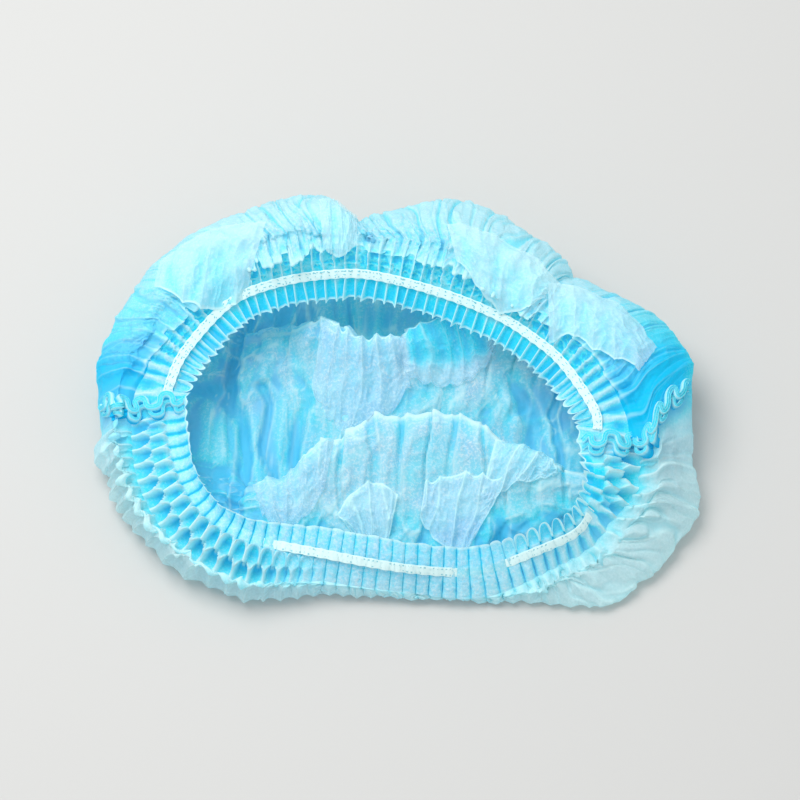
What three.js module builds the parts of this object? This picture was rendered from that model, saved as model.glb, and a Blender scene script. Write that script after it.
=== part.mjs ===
// A disposable hairnet of pleated non-woven cloth, lying opened on a table with its mouth up.
// One strip of cloth is gathered on two elastic bands. The strip's two ends are welded shut, so the
// bands form an oval mouth. The crown puffs out all round it, folds under and covers the table inside.
// Millimetres, +Z up, +X to the viewer's right, +Y away from the viewer. The origin is on the table
// under the middle of the cap.
import * as THREE from "three";

// Overall sizes, as the cap lies.
const CAP_LENGTH = 250;
const CAP_DEPTH = 176;
const CAP_HEIGHT = 56;

// Cloth and elastic.
const CLOTH = 1.1;
const RUFFLE = 8.6;
const ELASTIC_WIDTH = 4.2;
const ELASTIC_THICKNESS = 1;
const HEM_SKIRT = 9;

// Folds.
const PLEATS_PER_HEM = 54;
const RUFFLE_RELIEF = 2.2;
const SKIRT_RELIEF = 1.2;
const SCALLOP = 1.2;
const PUFF_RELIEF = 3.2;
const LIP = 2;
const FLOOR_RELIEF = 3;

// Welded ends, each a crinkled pleat that stands up from the ruffle to the puff's crest.
const WELD_HEIGHT = 7;
const WELD_WAVE = 1.8;

// Gap between pieces that touch on the real cap.
const CLEARANCE = 0.4;

// A row for each lobe, notch and corner of the mouth, anticlockwise from the right weld.
// rim is the middle of the elastic, edge the furthest reach of the puff outside it, crest the top of
// the puff between them. x and y are shares of half the length and half the depth, z of the height.
// tilt is the slope of the hem, outwards and up, in degrees.
const RIM_COLUMNS = ["rimX", "rimY", "rimZ", "tilt", "edgeX", "edgeY", "edgeZ", "crestZ"];
const BACK_ROWS = [
  [0.65, -0.287, 0.55, 5, 0.98, 0.02, 0.4, 0.6], // right weld
  [0.65, -0.151, 0.59, 14, 0.97, 0.2, 0.46, 0.68],
  [0.55, 0.08, 0.66, 30, 0.82, 0.42, 0.52, 0.8],
  [0.45, 0.21, 0.7, 36, 0.62, 0.56, 0.53, 0.82], // notch between the back and right lobes
  [0.33, 0.33, 0.71, 40, 0.46, 0.79, 0.57, 0.9],
  [0.145, 0.44, 0.74, 43, 0.19, 0.99, 0.6, 1],
  [-0.06, 0.525, 0.75, 44, -0.12, 0.9, 0.56, 0.88], // notch in the middle of the back
  [-0.2, 0.54, 0.75, 44, -0.28, 0.998, 0.6, 0.98],
  [-0.39, 0.495, 0.75, 41, -0.54, 0.93, 0.59, 0.97],
  [-0.56, 0.395, 0.71, 33, -0.78, 0.71, 0.55, 0.88],
  [-0.7, 0.17, 0.63, 18, -0.96, 0.34, 0.47, 0.72],
  [-0.75, 0.02, 0.57, 9, -0.998, 0.11, 0.38, 0.63],
];
const FRONT_ROWS = [
  [-0.757, -0.085, 0.54, 4, -0.985, -0.11, 0.27, 0.55], // left weld
  [-0.717, -0.375, 0.43, -2, -0.95, -0.41, 0.11, 0.43],
  [-0.632, -0.59, 0.38, -8, -0.84, -0.66, 0.1, 0.37],
  [-0.485, -0.725, 0.34, -14, -0.57, -0.94, 0.09, 0.3],
  [-0.225, -0.8, 0.3, -30, -0.245, -0.93, 0.1, 0.19],
  [0.04, -0.857, 0.27, -46, 0.042, -0.945, 0.06, 0.1],
  [0.27, -0.865, 0.23, -40, 0.285, -0.955, 0.05, 0.09], // notch at the front
  [0.495, -0.75, 0.32, -50, 0.64, -0.998, 0.07, 0.22],
  [0.588, -0.689, 0.38, -52, 0.82, -0.87, 0.08, 0.27],
  [0.634, -0.605, 0.43, -40, 0.945, -0.66, 0.12, 0.34],
  [0.657, -0.475, 0.49, -18, 0.998, -0.43, 0.17, 0.44],
  [0.655, -0.38, 0.53, 1, 0.995, -0.18, 0.3, 0.54],
];

// How the cloth lies inside, along lines from the front foot (0) to the back foot (1).
// across goes from the right weld (0) to the left weld (1). Two folds stand up like breaking waves:
// each has its crest's place and height, and where its front slope ends.
const FLOOR_COLUMNS = ["across", "backAt", "backUp", "backEnd", "frontAt", "frontUp", "frontEnd"];
const FLOOR_ROWS = [
  [0, 0.72, 0, 0.56, 0.44, 0, 0.25],
  [0.12, 0.74, 0.06, 0.56, 0.4, 0.08, 0.28],
  [0.22, 0.77, 0.12, 0.56, 0.4, 0.29, 0.27],
  [0.3, 0.77, 0.3, 0.56, 0.41, 0.4, 0.16],
  [0.38, 0.725, 0.4, 0.53, 0.45, 0.46, 0.15],
  [0.5, 0.69, 0.38, 0.52, 0.45, 0.46, 0.15],
  [0.58, 0.71, 0.44, 0.52, 0.37, 0.4, 0.13],
  [0.64, 0.72, 0.17, 0.54, 0.28, 0.24, 0.13],
  [0.72, 0.72, 0.05, 0.56, 0.3, 0.05, 0.14],
  [1, 0.72, 0, 0.56, 0.4, 0, 0.2],
];

// Steps of the faceted sheets.
const PUFF_STEPS = 7;
const WELD_PUFF_STEPS = 4;
const STATIONS = 2 * PLEATS_PER_HEM;
const HEM_STATIONS = 2 * STATIONS;

const UP = new THREE.Vector3(0, 0, 1);
const REST = CLOTH / 2;
const SKIRT_END = ELASTIC_WIDTH / 2 + HEM_SKIRT;
const RUFFLE_END = ELASTIC_WIDTH / 2 + RUFFLE;
// The pleats' relief at the elastic's inner side, and how high over the hem its middle lies.
const SEAT_RELIEF = SKIRT_RELIEF + (RUFFLE_RELIEF - SKIRT_RELIEF) * 0.4;
const ELASTIC_LIFT = (SEAT_RELIEF + CLOTH + ELASTIC_THICKNESS) / 2 + CLEARANCE;

const mix = (a, b, share) => a + (b - a) * share;
const named = (columns, row) => Object.fromEntries(columns.map((name, i) => [name, row[i]]));

const rows = [...BACK_ROWS, ...FRONT_ROWS].map((row) => named(RIM_COLUMNS, row));
const closedCurve = (points) => new THREE.CatmullRomCurve3(points, true, "catmullrom", 0.5);
const rim = closedCurve(
  rows.map(
    (r) => new THREE.Vector3((r.rimX * CAP_LENGTH) / 2, (r.rimY * CAP_DEPTH) / 2, r.rimZ * CAP_HEIGHT),
  ),
);
const edge = closedCurve(
  rows.map(
    (r) =>
      new THREE.Vector3((r.edgeX * CAP_LENGTH) / 2, (r.edgeY * CAP_DEPTH) / 2, r.edgeZ * CAP_HEIGHT),
  ),
);
const slope = closedCurve(rows.map((r) => new THREE.Vector3(r.tilt, r.crestZ * CAP_HEIGHT, 0)));

// The share of the rim's length at a row's own point.
function lengthShare(row) {
  const lengths = rim.getLengths(rows.length * 40);
  return lengths[row * 40] / lengths[lengths.length - 1];
}

const leftWeldShare = lengthShare(BACK_ROWS.length);

// The cap's section at a place round the mouth: 0 is the right weld, 0.5 the left weld, and pleats
// are spaced evenly along each hem between the two.
function sectionAt(place) {
  const turn = ((place % 1) + 1) % 1;
  const share =
    turn < 0.5 ? mix(0, leftWeldShare, turn * 2) : mix(leftWeldShare, 1, (turn - 0.5) * 2);
  const t = rim.getUtoTmapping(share % 1);
  const middle = rim.getPoint(t);
  const along = rim.getTangent(t).setZ(0).normalize();
  const out = new THREE.Vector3(along.y, -along.x, 0);
  const extra = slope.getPoint(t);
  const tilt = THREE.MathUtils.degToRad(extra.x);
  const across = out.clone().multiplyScalar(Math.cos(tilt)).addScaledVector(UP, Math.sin(tilt));
  const face = out.clone().multiplyScalar(-Math.sin(tilt)).addScaledVector(UP, Math.cos(tilt));
  return { turn, middle, out, across, face, edge: edge.getPoint(t), crestZ: extra.y };
}

const station = (i, count) => sectionAt(i / count);

// A point on the hem, w outwards from the middle of the elastic and lifted off the sheet.
const onHem = (s, w, lift) =>
  s.middle.clone().addScaledVector(s.across, w).addScaledVector(s.face, lift);

// A closed solid from a sheet: its points, its triangles and the wall's thickness. Each point moves
// half the wall to both sides, and open borders get a wall of their own. Points named in resting
// have their lower side on the table.
function thicken(points, triangles, wall, resting = new Set()) {
  const sheet = new THREE.BufferGeometry().setFromPoints(points);
  sheet.setIndex(triangles.flat());
  sheet.computeVertexNormals();
  const normals = sheet.getAttribute("normal");
  const count = points.length;
  const positions = [];
  for (const side of [1, -1])
    points.forEach((p, i) => {
      const moved = p
        .clone()
        .addScaledVector(new THREE.Vector3().fromBufferAttribute(normals, i), (side * wall) / 2);
      if (resting.has(i)) moved.copy(p).setZ(side > 0 ? 0 : p.z + wall / 2);
      positions.push(moved.x, moved.y, moved.z);
    });
  const index = [];
  const borders = new Map();
  for (const [a, b, c] of triangles) {
    index.push(a, b, c, count + a, count + c, count + b);
    for (const [from, to] of [
      [a, b],
      [b, c],
      [c, a],
    ]) {
      if (borders.has(to + "," + from)) borders.delete(to + "," + from);
      else borders.set(from + "," + to, [from, to]);
    }
  }
  for (const [from, to] of borders.values())
    index.push(from, count + from, to, to, count + from, count + to);
  const solid = new THREE.BufferGeometry();
  solid.setAttribute("position", new THREE.Float32BufferAttribute(positions, 3));
  solid.setIndex(index);
  return solid;
}

// Two triangles for each cell of a grid of rows, each row a list of point numbers.
function gridTriangles(gridRows) {
  const triangles = [];
  for (let j = 0; j + 1 < gridRows.length; j++)
    for (let i = 0; i + 1 < gridRows[j].length; i++) {
      const [a, b] = [gridRows[j][i], gridRows[j][i + 1]];
      const [c, d] = [gridRows[j + 1][i], gridRows[j + 1][i + 1]];
      triangles.push([a, c, b], [b, c, d]);
    }
  return triangles.filter(([a, b, c]) => a !== b && b !== c && c !== a);
}

// How free the cloth is to pleat: nothing at the welds, whole a few pleats away.
function freedom(place) {
  const toWeld = Math.min(place % 0.5, 0.5 - (place % 0.5)) * STATIONS;
  return THREE.MathUtils.smoothstep(toWeld, 1, 5);
}

// The puff's line at one section, from the hem's skirt over the crest and down to its foot.
function puffLine(s) {
  const start = onHem(s, SKIRT_END, 0);
  const rise = Math.max(0, s.crestZ - start.z);
  const lip = start.clone().addScaledVector(s.across, LIP).addScaledVector(UP, rise * 0.5);
  const crest = start.clone().lerp(s.edge, 0.4).setZ(s.crestZ);
  const foot = s.middle.clone().lerp(s.edge, 0.86).setZ(REST);
  return new THREE.CatmullRomCurve3([start, lip, crest, s.edge, foot], false, "centripetal");
}

// The cloth inside along one line from the back foot to the front foot.
function floorLine(back, front, across) {
  const last = FLOOR_ROWS.length - 1;
  let row = 0;
  while (row < last - 1 && FLOOR_ROWS[row + 1][0] < across) row++;
  const [low, high] = [FLOOR_ROWS[row], FLOOR_ROWS[row + 1]];
  const share = THREE.MathUtils.smootherstep(across, low[0], high[0]);
  const f = named(
    FLOOR_COLUMNS,
    low.map((value, i) => mix(value, high[i], share)),
  );
  const tuck = 0.018;
  const [backUp, frontUp] = [f.backUp * CAP_HEIGHT, f.frontUp * CAP_HEIGHT];
  // at is the share of the way from the front foot to the back foot, up the height over the table.
  const knots = [
    { at: 0.95, up: 0, free: 0 },
    { at: f.backAt + tuck, up: backUp * 0.12, free: 1 },
    { at: f.backAt, up: backUp, free: 0.6 },
    { at: mix(f.backAt, f.backEnd, 0.4), up: backUp * 0.62, free: 1 },
    { at: f.backEnd, up: backUp * 0.2, free: 1 },
    { at: f.frontAt + tuck, up: frontUp * 0.12, free: 1 },
    { at: f.frontAt, up: frontUp, free: 0.6 },
    { at: mix(f.frontAt, f.frontEnd, 0.33), up: frontUp * 0.74, free: 1 },
    { at: mix(f.frontAt, f.frontEnd, 0.68), up: frontUp * 0.42, free: 1 },
    { at: f.frontEnd, up: frontUp * 0.1, free: 1 },
    { at: 0.05, up: 0, free: 0 },
  ];
  return knots.map(({ at, up, free }) => ({
    point: front.clone().lerp(back, at).setZ(REST + up),
    free,
  }));
}

// The pleated hem as rings round the mouth, from its free ruffle to its outer side. At each weld one
// pleat stands up, crinkled.
function hemRings(add) {
  const bands = [
    { w: -RUFFLE_END, relief: RUFFLE_RELIEF, scallop: SCALLOP },
    { w: -ELASTIC_WIDTH / 2, relief: SEAT_RELIEF, scallop: 0 },
    { w: ELASTIC_WIDTH / 2, relief: SKIRT_RELIEF, scallop: 0 },
    { w: SKIRT_END, relief: SKIRT_RELIEF * 0.6, scallop: 0 },
  ];
  return bands.map(({ w, relief, scallop }, j) => {
    const ring = [];
    for (let i = 0; i < HEM_STATIONS; i++) {
      const s = station(i, HEM_STATIONS);
      const up = (i + 1) % 2;
      const p = onHem(s, w - scallop * up, relief * (up - 0.5));
      if (i % (HEM_STATIONS / 2) === 0) standUp(p, s, j);
      ring.push(add(p));
    }
    return [...ring, ring[0]];
  });
}

// Moves a weld's point up, and to one side and the other from ring to ring.
function standUp(p, s, ring) {
  const along = new THREE.Vector3(-s.out.y, s.out.x, 0);
  p.addScaledVector(UP, WELD_HEIGHT).addScaledVector(along, ring % 2 ? WELD_WAVE : -WELD_WAVE);
}

// The puff as lines from the hem's outer side down to the table, with coarser folds.
function puffLines(add, hemSteps) {
  const lines = [];
  for (let i = 0; i < STATIONS; i++) {
    const s = station(i, STATIONS);
    const side = i % 2 ? 0.5 : -0.5;
    const line = puffLine(s).getSpacedPoints(PUFF_STEPS).slice(1);
    lines.push(
      line.map((p, j) => {
        const share = (j + 1) / PUFF_STEPS;
        const relief = PUFF_RELIEF * side * Math.sin(Math.PI * share) * freedom(s.turn);
        const lift = s.out.clone().multiplyScalar(share).addScaledVector(UP, 1 - share);
        p.addScaledVector(lift.normalize(), relief);
        if (i % (STATIONS / 2) === 0 && j < WELD_PUFF_STEPS) standUp(p, s, j + hemSteps);
        return add(p);
      }),
    );
  }
  return lines;
}

// Triangles between a ring of hem stations and a ring with half as many.
function coarserRing(fine, coarse) {
  const triangles = [];
  for (let i = 0; i + 1 < coarse.length; i++) {
    const [a, b, c] = [fine[2 * i], fine[2 * i + 1], fine[2 * i + 2]];
    const [d, e] = [coarse[i], coarse[i + 1]];
    triangles.push([a, d, b], [b, d, e], [b, e, c]);
  }
  return triangles;
}

// The crown, one sheet of cloth: the hem and the puff as rings round the mouth, and the cloth inside
// as lines that join each place on the back foot to its partner on the front foot.
function crownSolid() {
  const points = [];
  const resting = new Set();
  const add = (p) => points.push(p) - 1;
  const hem = hemRings(add);
  const lines = puffLines(add, hem.length);
  const rings = [];
  for (let j = 0; j < PUFF_STEPS; j++) rings.push([...lines.map((l) => l[j]), lines[0][j]]);
  const triangles = [
    ...gridTriangles(hem),
    ...coarserRing(hem[hem.length - 1], rings[0]),
    ...gridTriangles(rings),
  ];

  const half = STATIONS / 2;
  const foot = (i) => lines[i % STATIONS][PUFF_STEPS - 1];
  for (let i = 0; i < STATIONS; i++) resting.add(foot(i));
  const floorRows = [];
  for (let k = 0; k <= half; k++) {
    const [back, front] = [foot(k), foot(STATIONS - k)];
    const ridge = (k % 2) * FLOOR_RELIEF * THREE.MathUtils.smoothstep(Math.min(k, half - k), 1, 6);
    const inner = floorLine(points[back], points[front], k / half).map(({ point, free }) => {
      if (back === front) return back;
      point.z += ridge * free;
      const at = add(point);
      if (free === 0) resting.add(at);
      return at;
    });
    floorRows.push([back, ...inner, front]);
  }
  triangles.push(...gridTriangles(floorRows.reverse()));
  return thicken(points, triangles, CLOTH, resting);
}

// One elastic band, lying on the pleats' crests along the hem.
function elasticSolid(first, last) {
  const points = [];
  const gridRows = [[], []];
  for (let i = first; i <= last; i += 2) {
    const s = station(i, HEM_STATIONS);
    [-ELASTIC_WIDTH / 2, ELASTIC_WIDTH / 2].forEach((w, j) => {
      points.push(onHem(s, w, ELASTIC_LIFT));
      gridRows[j].push(points.length - 1);
    });
  }
  return thicken(points, gridTriangles(gridRows), ELASTIC_THICKNESS);
}

const cloth = new THREE.MeshStandardMaterial({ color: 0x7fdcf5, roughness: 0.8, metalness: 0 });
const elastic = new THREE.MeshStandardMaterial({ color: 0xe6fbfa, roughness: 0.6, metalness: 0 });

const half = HEM_STATIONS / 2;
const pieces = [
  ["crown", crownSolid(), cloth],
  ["elastic_back", elasticSolid(2, half - 2), elastic],
  ["elastic_front", elasticSolid(half + 2, HEM_STATIONS - 2), elastic],
];

const cap = new THREE.Group();
for (const [name, geometry, material] of pieces) {
  const mesh = new THREE.Mesh(geometry, material);
  mesh.name = name;
  cap.add(mesh);
}
const box = new THREE.Box3().setFromObject(cap, true);
const centre = box.getCenter(new THREE.Vector3());
cap.position.set(-centre.x, -centre.y, -box.min.z);

export default cap;
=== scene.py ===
"""A disposable hairnet of thin pleated cloth, lying opened on a table with its mouth up.

The cloth is built from the same rim, edge and crest as the solid model, in millimetres. One sheet
makes the pleated hem, the puff behind and before the mouth, and the cloth inside. On it lie ridges
at the welded ends, loose folds and layers, and two elastic bands with their stitches.
"""
import math
from types import SimpleNamespace

import bpy
import numpy as np
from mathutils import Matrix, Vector


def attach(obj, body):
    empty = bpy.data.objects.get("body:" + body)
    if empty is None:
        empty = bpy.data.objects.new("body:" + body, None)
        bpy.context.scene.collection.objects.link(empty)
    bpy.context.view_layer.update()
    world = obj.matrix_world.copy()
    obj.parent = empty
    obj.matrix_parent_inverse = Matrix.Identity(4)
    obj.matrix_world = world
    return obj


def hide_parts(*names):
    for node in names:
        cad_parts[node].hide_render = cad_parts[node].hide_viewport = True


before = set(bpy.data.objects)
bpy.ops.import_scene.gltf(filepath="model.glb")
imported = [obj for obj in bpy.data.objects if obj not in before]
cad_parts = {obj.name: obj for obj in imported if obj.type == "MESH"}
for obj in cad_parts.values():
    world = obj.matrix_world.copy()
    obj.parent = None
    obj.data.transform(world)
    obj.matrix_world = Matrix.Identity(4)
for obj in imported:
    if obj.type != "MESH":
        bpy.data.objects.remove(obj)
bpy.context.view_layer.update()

MM = 0.001

# Sizes of the cap as it lies, the same as in the solid model. All sizes are in millimetres but those
# of the flat sheets, the light and the camera. The cloth never lies lower than REST.
CAP_LENGTH = 250
CAP_DEPTH = 176
CAP_HEIGHT = 56
CENTRE_SHIFT = np.array([0, -0.5, 0])
RUFFLE = 8.6
ELASTIC_WIDTH = 4.2
HEM_SKIRT = 9
LIP = 2
REST = 0.55
SEAT = ELASTIC_WIDTH / 2

# Pleats of each hem with their height at the elastic, and samples of the fine mesh.
PLEATS_BACK = 54
PLEATS_FRONT = 47
SEAT_PLEAT = 1.2
SAMPLES = 16
RUFFLE_ROWS = 16
SEAT_ROWS = 5
SKIRT_ROWS = 27
INSIDE_LINES = 432

# Rows between the knots of the puff's lines, and of the three stretches of the lines inside.
PUFF_ROWS = [9, 8, 9, 16, 30, 26]
INSIDE_ROWS = [
    [12, 16, 12, 12],
    [8, 14, 16, 12, 12, 12],
    [10, 18, 18, 18, 16, 8],
]

# How many pleats the puff has behind and before the mouth, and how many pleats the standing folds
# and soft ridges the floor inside have from side to side.
FOLDS_BACK = 27
FOLDS_FRONT = 24
FAN_PLEATS = 26
FLOOR_RIDGES = 16

# Where the puff's crest and foot lie between the hem (0) and the edge (1), and the distance from hem
# to edge that leaves room for its full roll.
CREST_AT = 0.42
FOOT_AT = 0.86
FULL_ROOM = 12

# The mouth seen from above, as an oval.
MOUTH_MIDDLE = (-6, -14)
MOUTH_HALF = (88, 62)

# Elastic bands and their thread. A sunk band lies under the pleats instead of on them. BAND_RUN
# pleats are one unit of the value that runs along a band.
BAND_SAMPLES = 8
BAND_SIDES = 16
BAND_THICKNESS = 0.55
BAND_LIFT = 1.9
BAND_SUNK = -1.3
BAND_RUN = 128
STITCH_ROWS = {"back": [-0.3, 1.2], "front": [-0.9, 0.8]}
STITCHES_PER_PLEAT = {"back": 1.4, "front": 2.6}
STITCH_LENGTH = 1.5
STITCH_BOW = 0.1
THREAD = 0.3
THREAD_SIDES = 6
STITCH_SEED = {"back": 51, "front": 52}

# Pockets like fish scales outside the left of the elastic: where each row starts and its length,
# measured from the middle of the elastic, their depth, and how much longer the skirt is there.
SCALE_ROWS = [(1.9, 5.2), (6.0, 5.2)]
SCALE_DEPTH = 4.0
SCALE_STRETCH = 0.9

# Round fingers of the ruffle, where it makes loops: how far the gaps between them reach, as a share
# of the ruffle, and half their width and the width of their raised rims in millimetres; the rims are
# also painted bright as a highlight and the fingers' insides painted with shade.
LOOP_FOOT = 0.2
LOOP_HALF = 2.5
LOOP_RIM = 0.9

# Notches in the outline of the back puff: their x, depth and half width.
NOTCHES = [(-17, 5.0, 5), (74, 4.0, 5)]

# A map of how high a sheet lies: the size of its cells, and how many it has each way.
MAP_CELL = 1.5
MAP_SIZE = 200

# Deep valleys between the folds of the cloth inside: half their width in millimetres, and the
# points that each one runs through from the back to the front.
VALLEYS = {
    "left": (2.4, [(-62, 48), (-67, 31), (-70, 7), (-65, 0), (-63, -15), (-66, -42)]),
    "left_branch": (1.3, [(-57, 14), (-54, -2), (-57, -15), (-52, -26), (-50, -36)]),
    "middle_left": (2.6, [(-38, 52), (-41, 32), (-39, 20), (-37, 7), (-42, -8), (-44, -22)]),
    "middle_right": (3.0, [(28, 42), (40, 29), (48, 18), (51, 8), (56, -3), (54, -14)]),
    "right": (1.5, [(60, 26), (66, 12), (64, -3), (68, -16), (66, -30)]),
    "front_right": (2.2, [(38, -44), (44, -52), (42, -60), (50, -66)]),
}

# Folds that lie on the cloth inside: points of the upper and the lower edge from left to right, and
# their style. tips is how far the edges are scalloped and lift how high the upper edge stands, in
# millimetres. outline gives all four edges a bright rim, a painted highlight, else the lower edge
# fades into the cloth; deep darkens the whole fold and valleys paints shade between its pleats.
# FOLD_CLEARANCE is how far above the cloth they lie before they lift and wrinkle.
FOLD_COLUMNS = 150
FOLD_ROWS = 60
FOLD_CLEARANCE = 0.7
FOLD_SEED = 70
LAYER_SEED = 110
FOLD_STYLE = ["pleats", "tips", "lift", "deep", "clear", "outline", "valleys", "grey", "ground"]
FOLDS = {
    "fold_back": (
        [(1, 28), (8, 32), (19, 35), (28, 31), (40, 28)],
        [(3, 15), (13, 11), (24, 11), (32, 14), (41, 24)],
        [6.2, 1.0, 2.5, 0.62, 0.1, 0, 0.3, 0.1, 1],
    ),
    "fold_middle": (
        [(-30, 36), (-24, 29), (-15, 26), (-7, 26), (2, 28)],
        [(-36, 12), (-30, 0), (-20, -9), (-8, -4), (5, 10)],
        [5.5, 2.2, 3.0, 0.08, 0.3, 0, 0.4, 0.7, 1],
    ),
    "fold_left": (
        [(-60, -36), (-49, -31), (-39, -28), (-26, -19)],
        [(-56, -50), (-47, -54), (-39, -51), (-30, -40)],
        [4.4, 1.5, 2.5, 0.08, 0.35, 0, 0.35, 0.5, 1],
    ),
    "fold_arch": (
        [(-25, -51), (-20, -44), (-11, -38), (0, -42)],
        [(-15, -61), (-10, -64), (-5, -65)],
        [3.5, 0.4, 2, 0.12, 0.6, 1, 0.2, 0.6, 1],
    ),
    "fold_tongue": (
        [(11, -38), (26, -35), (44, -38)],
        [(9, -51), (17, -60), (27, -63), (32, -58)],
        [4.2, 1.2, 1, 0.12, 0.6, 0.8, 0.2, 0.7, 1],
    ),
    "fold_end": (
        [(40, -22), (56, -19), (62, -27), (66, -34)],
        [(32, -50), (45, -40), (55, -37), (65, -35)],
        [4.2, 0.8, 1.5, 0.18, 0.4, 0.8, 0.3, 0.4, 1],
    ),
}
# Loose layers of the puff behind the mouth, in the same way, from their free edge outwards.
LAYERS = {
    "layer_right": (
        [(62, 15), (72, 16), (80, 11), (89, 7), (100, 3)],
        [(62, 37), (73, 38), (85, 34), (96, 27), (106, 13)],
        [4.3, 1.8, 1.0, 0.05, 0.35, 0, 0.35, 0.1, 0.1],
    ),
    "layer_top": (
        [(24, 47), (33, 37), (40, 30), (50, 26), (59, 31)],
        [(20, 62), (32, 60), (45, 55), (57, 48), (66, 38)],
        [3.6, 1.6, 0.9, 0.05, 0.35, 0, 0.35, 0.1, 0.1],
    ),
    "layer_notch": (
        [(-31, 53), (-24, 51), (-17, 55)],
        [(-33, 76), (-25, 78), (-17, 72)],
        [1.7, 0.8, 0.8, 0.05, 0.25, 0, 0.35, 0.1, 0.1],
    ),
    "layer_left": (
        [(-101, 40), (-88, 32), (-76, 30), (-63, 36)],
        [(-99, 53), (-85, 60), (-71, 65), (-55, 63)],
        [3.4, 1.8, 1.0, 0.1, 0.3, 0, 0.4, 0.1, 0.1],
    ),
}

# The welded ends: bold ridges that wind along the welds. Each weld has the column that it starts
# from and how far it drifts round the cap on its way out, in columns. Each of its two ridges has an
# offset towards the front, a height, half a width and a phase. The ridges run from SEAM_FIRST_ROW of
# the hem to SEAM_LAST_ROW of the puff, and SEAM_EVENED samples to each side even out their line.
# SEAM_WAVE is the length of a winding and SEAM_SWING how far it goes to each side. SEAM_WALL is how
# deep the walls go, and SEAM_TOP how much of a ridge's cross-section is its top.
SEAM_SAMPLES = 420
SEAM_ROWS = 17
SEAM_FIRST_ROW = 3
SEAM_LAST_ROW = 66
SEAM_WAVE = 10.5
SEAM_SWING = 2.9
SEAM_WALL = 5.5
SEAM_TOP = 0.62
SEAM_EVENED = 25
SEAMS = {"end_seam_right": (0, 8, -1), "end_seam_left": (PLEATS_BACK * SAMPLES, -12, 1)}
SEAM_RIDGES = {"outer": (0, 2.8, 1.25, 0), "inner": (3.3, 1.7, 0.8, 0.5)}

UP = np.array([0.0, 0.0, 1.0])

# A row for each lobe, notch and corner of the mouth, anticlockwise from the right weld: the x, y and
# z of the rim, the tilt there in degrees, the x, y and z of the edge, and the z of the crest. The rim
# is the middle of the elastic, the edge the furthest reach of the puff and the crest its top. x and
# y are shares of half the length and half the depth, z of the height.
BACK_ROWS = [
    [0.65, -0.287, 0.55, 5, 0.98, 0.02, 0.4, 0.6],
    [0.65, -0.151, 0.59, 14, 0.97, 0.2, 0.46, 0.68],
    [0.55, 0.08, 0.66, 30, 0.82, 0.42, 0.52, 0.8],
    [0.45, 0.21, 0.7, 36, 0.62, 0.56, 0.53, 0.82],
    [0.33, 0.33, 0.71, 40, 0.46, 0.79, 0.57, 0.9],
    [0.145, 0.44, 0.74, 43, 0.19, 0.99, 0.6, 1],
    [-0.06, 0.525, 0.75, 44, -0.12, 0.9, 0.56, 0.88],
    [-0.2, 0.54, 0.75, 44, -0.28, 0.998, 0.6, 0.98],
    [-0.39, 0.495, 0.75, 41, -0.54, 0.93, 0.59, 0.97],
    [-0.56, 0.395, 0.71, 33, -0.78, 0.71, 0.55, 0.88],
    [-0.7, 0.17, 0.63, 18, -0.96, 0.34, 0.47, 0.72],
    [-0.75, 0.02, 0.57, 9, -0.998, 0.11, 0.38, 0.63],
]
FRONT_ROWS = [
    [-0.757, -0.085, 0.54, 4, -0.985, -0.11, 0.27, 0.55],
    [-0.717, -0.375, 0.43, -2, -0.95, -0.41, 0.11, 0.43],
    [-0.632, -0.59, 0.38, -8, -0.84, -0.66, 0.1, 0.37],
    [-0.485, -0.725, 0.34, -14, -0.57, -0.94, 0.09, 0.3],
    [-0.225, -0.8, 0.3, -30, -0.245, -0.93, 0.1, 0.19],
    [0.04, -0.857, 0.27, -46, 0.042, -0.945, 0.06, 0.1],
    [0.27, -0.865, 0.23, -40, 0.285, -0.955, 0.05, 0.09],
    [0.495, -0.75, 0.32, -50, 0.64, -0.998, 0.07, 0.22],
    [0.588, -0.689, 0.38, -52, 0.82, -0.87, 0.08, 0.27],
    [0.634, -0.605, 0.43, -40, 0.945, -0.66, 0.12, 0.34],
    [0.657, -0.475, 0.49, -18, 0.998, -0.43, 0.17, 0.44],
    [0.655, -0.38, 0.53, 1, 0.995, -0.18, 0.3, 0.54],
]
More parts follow.
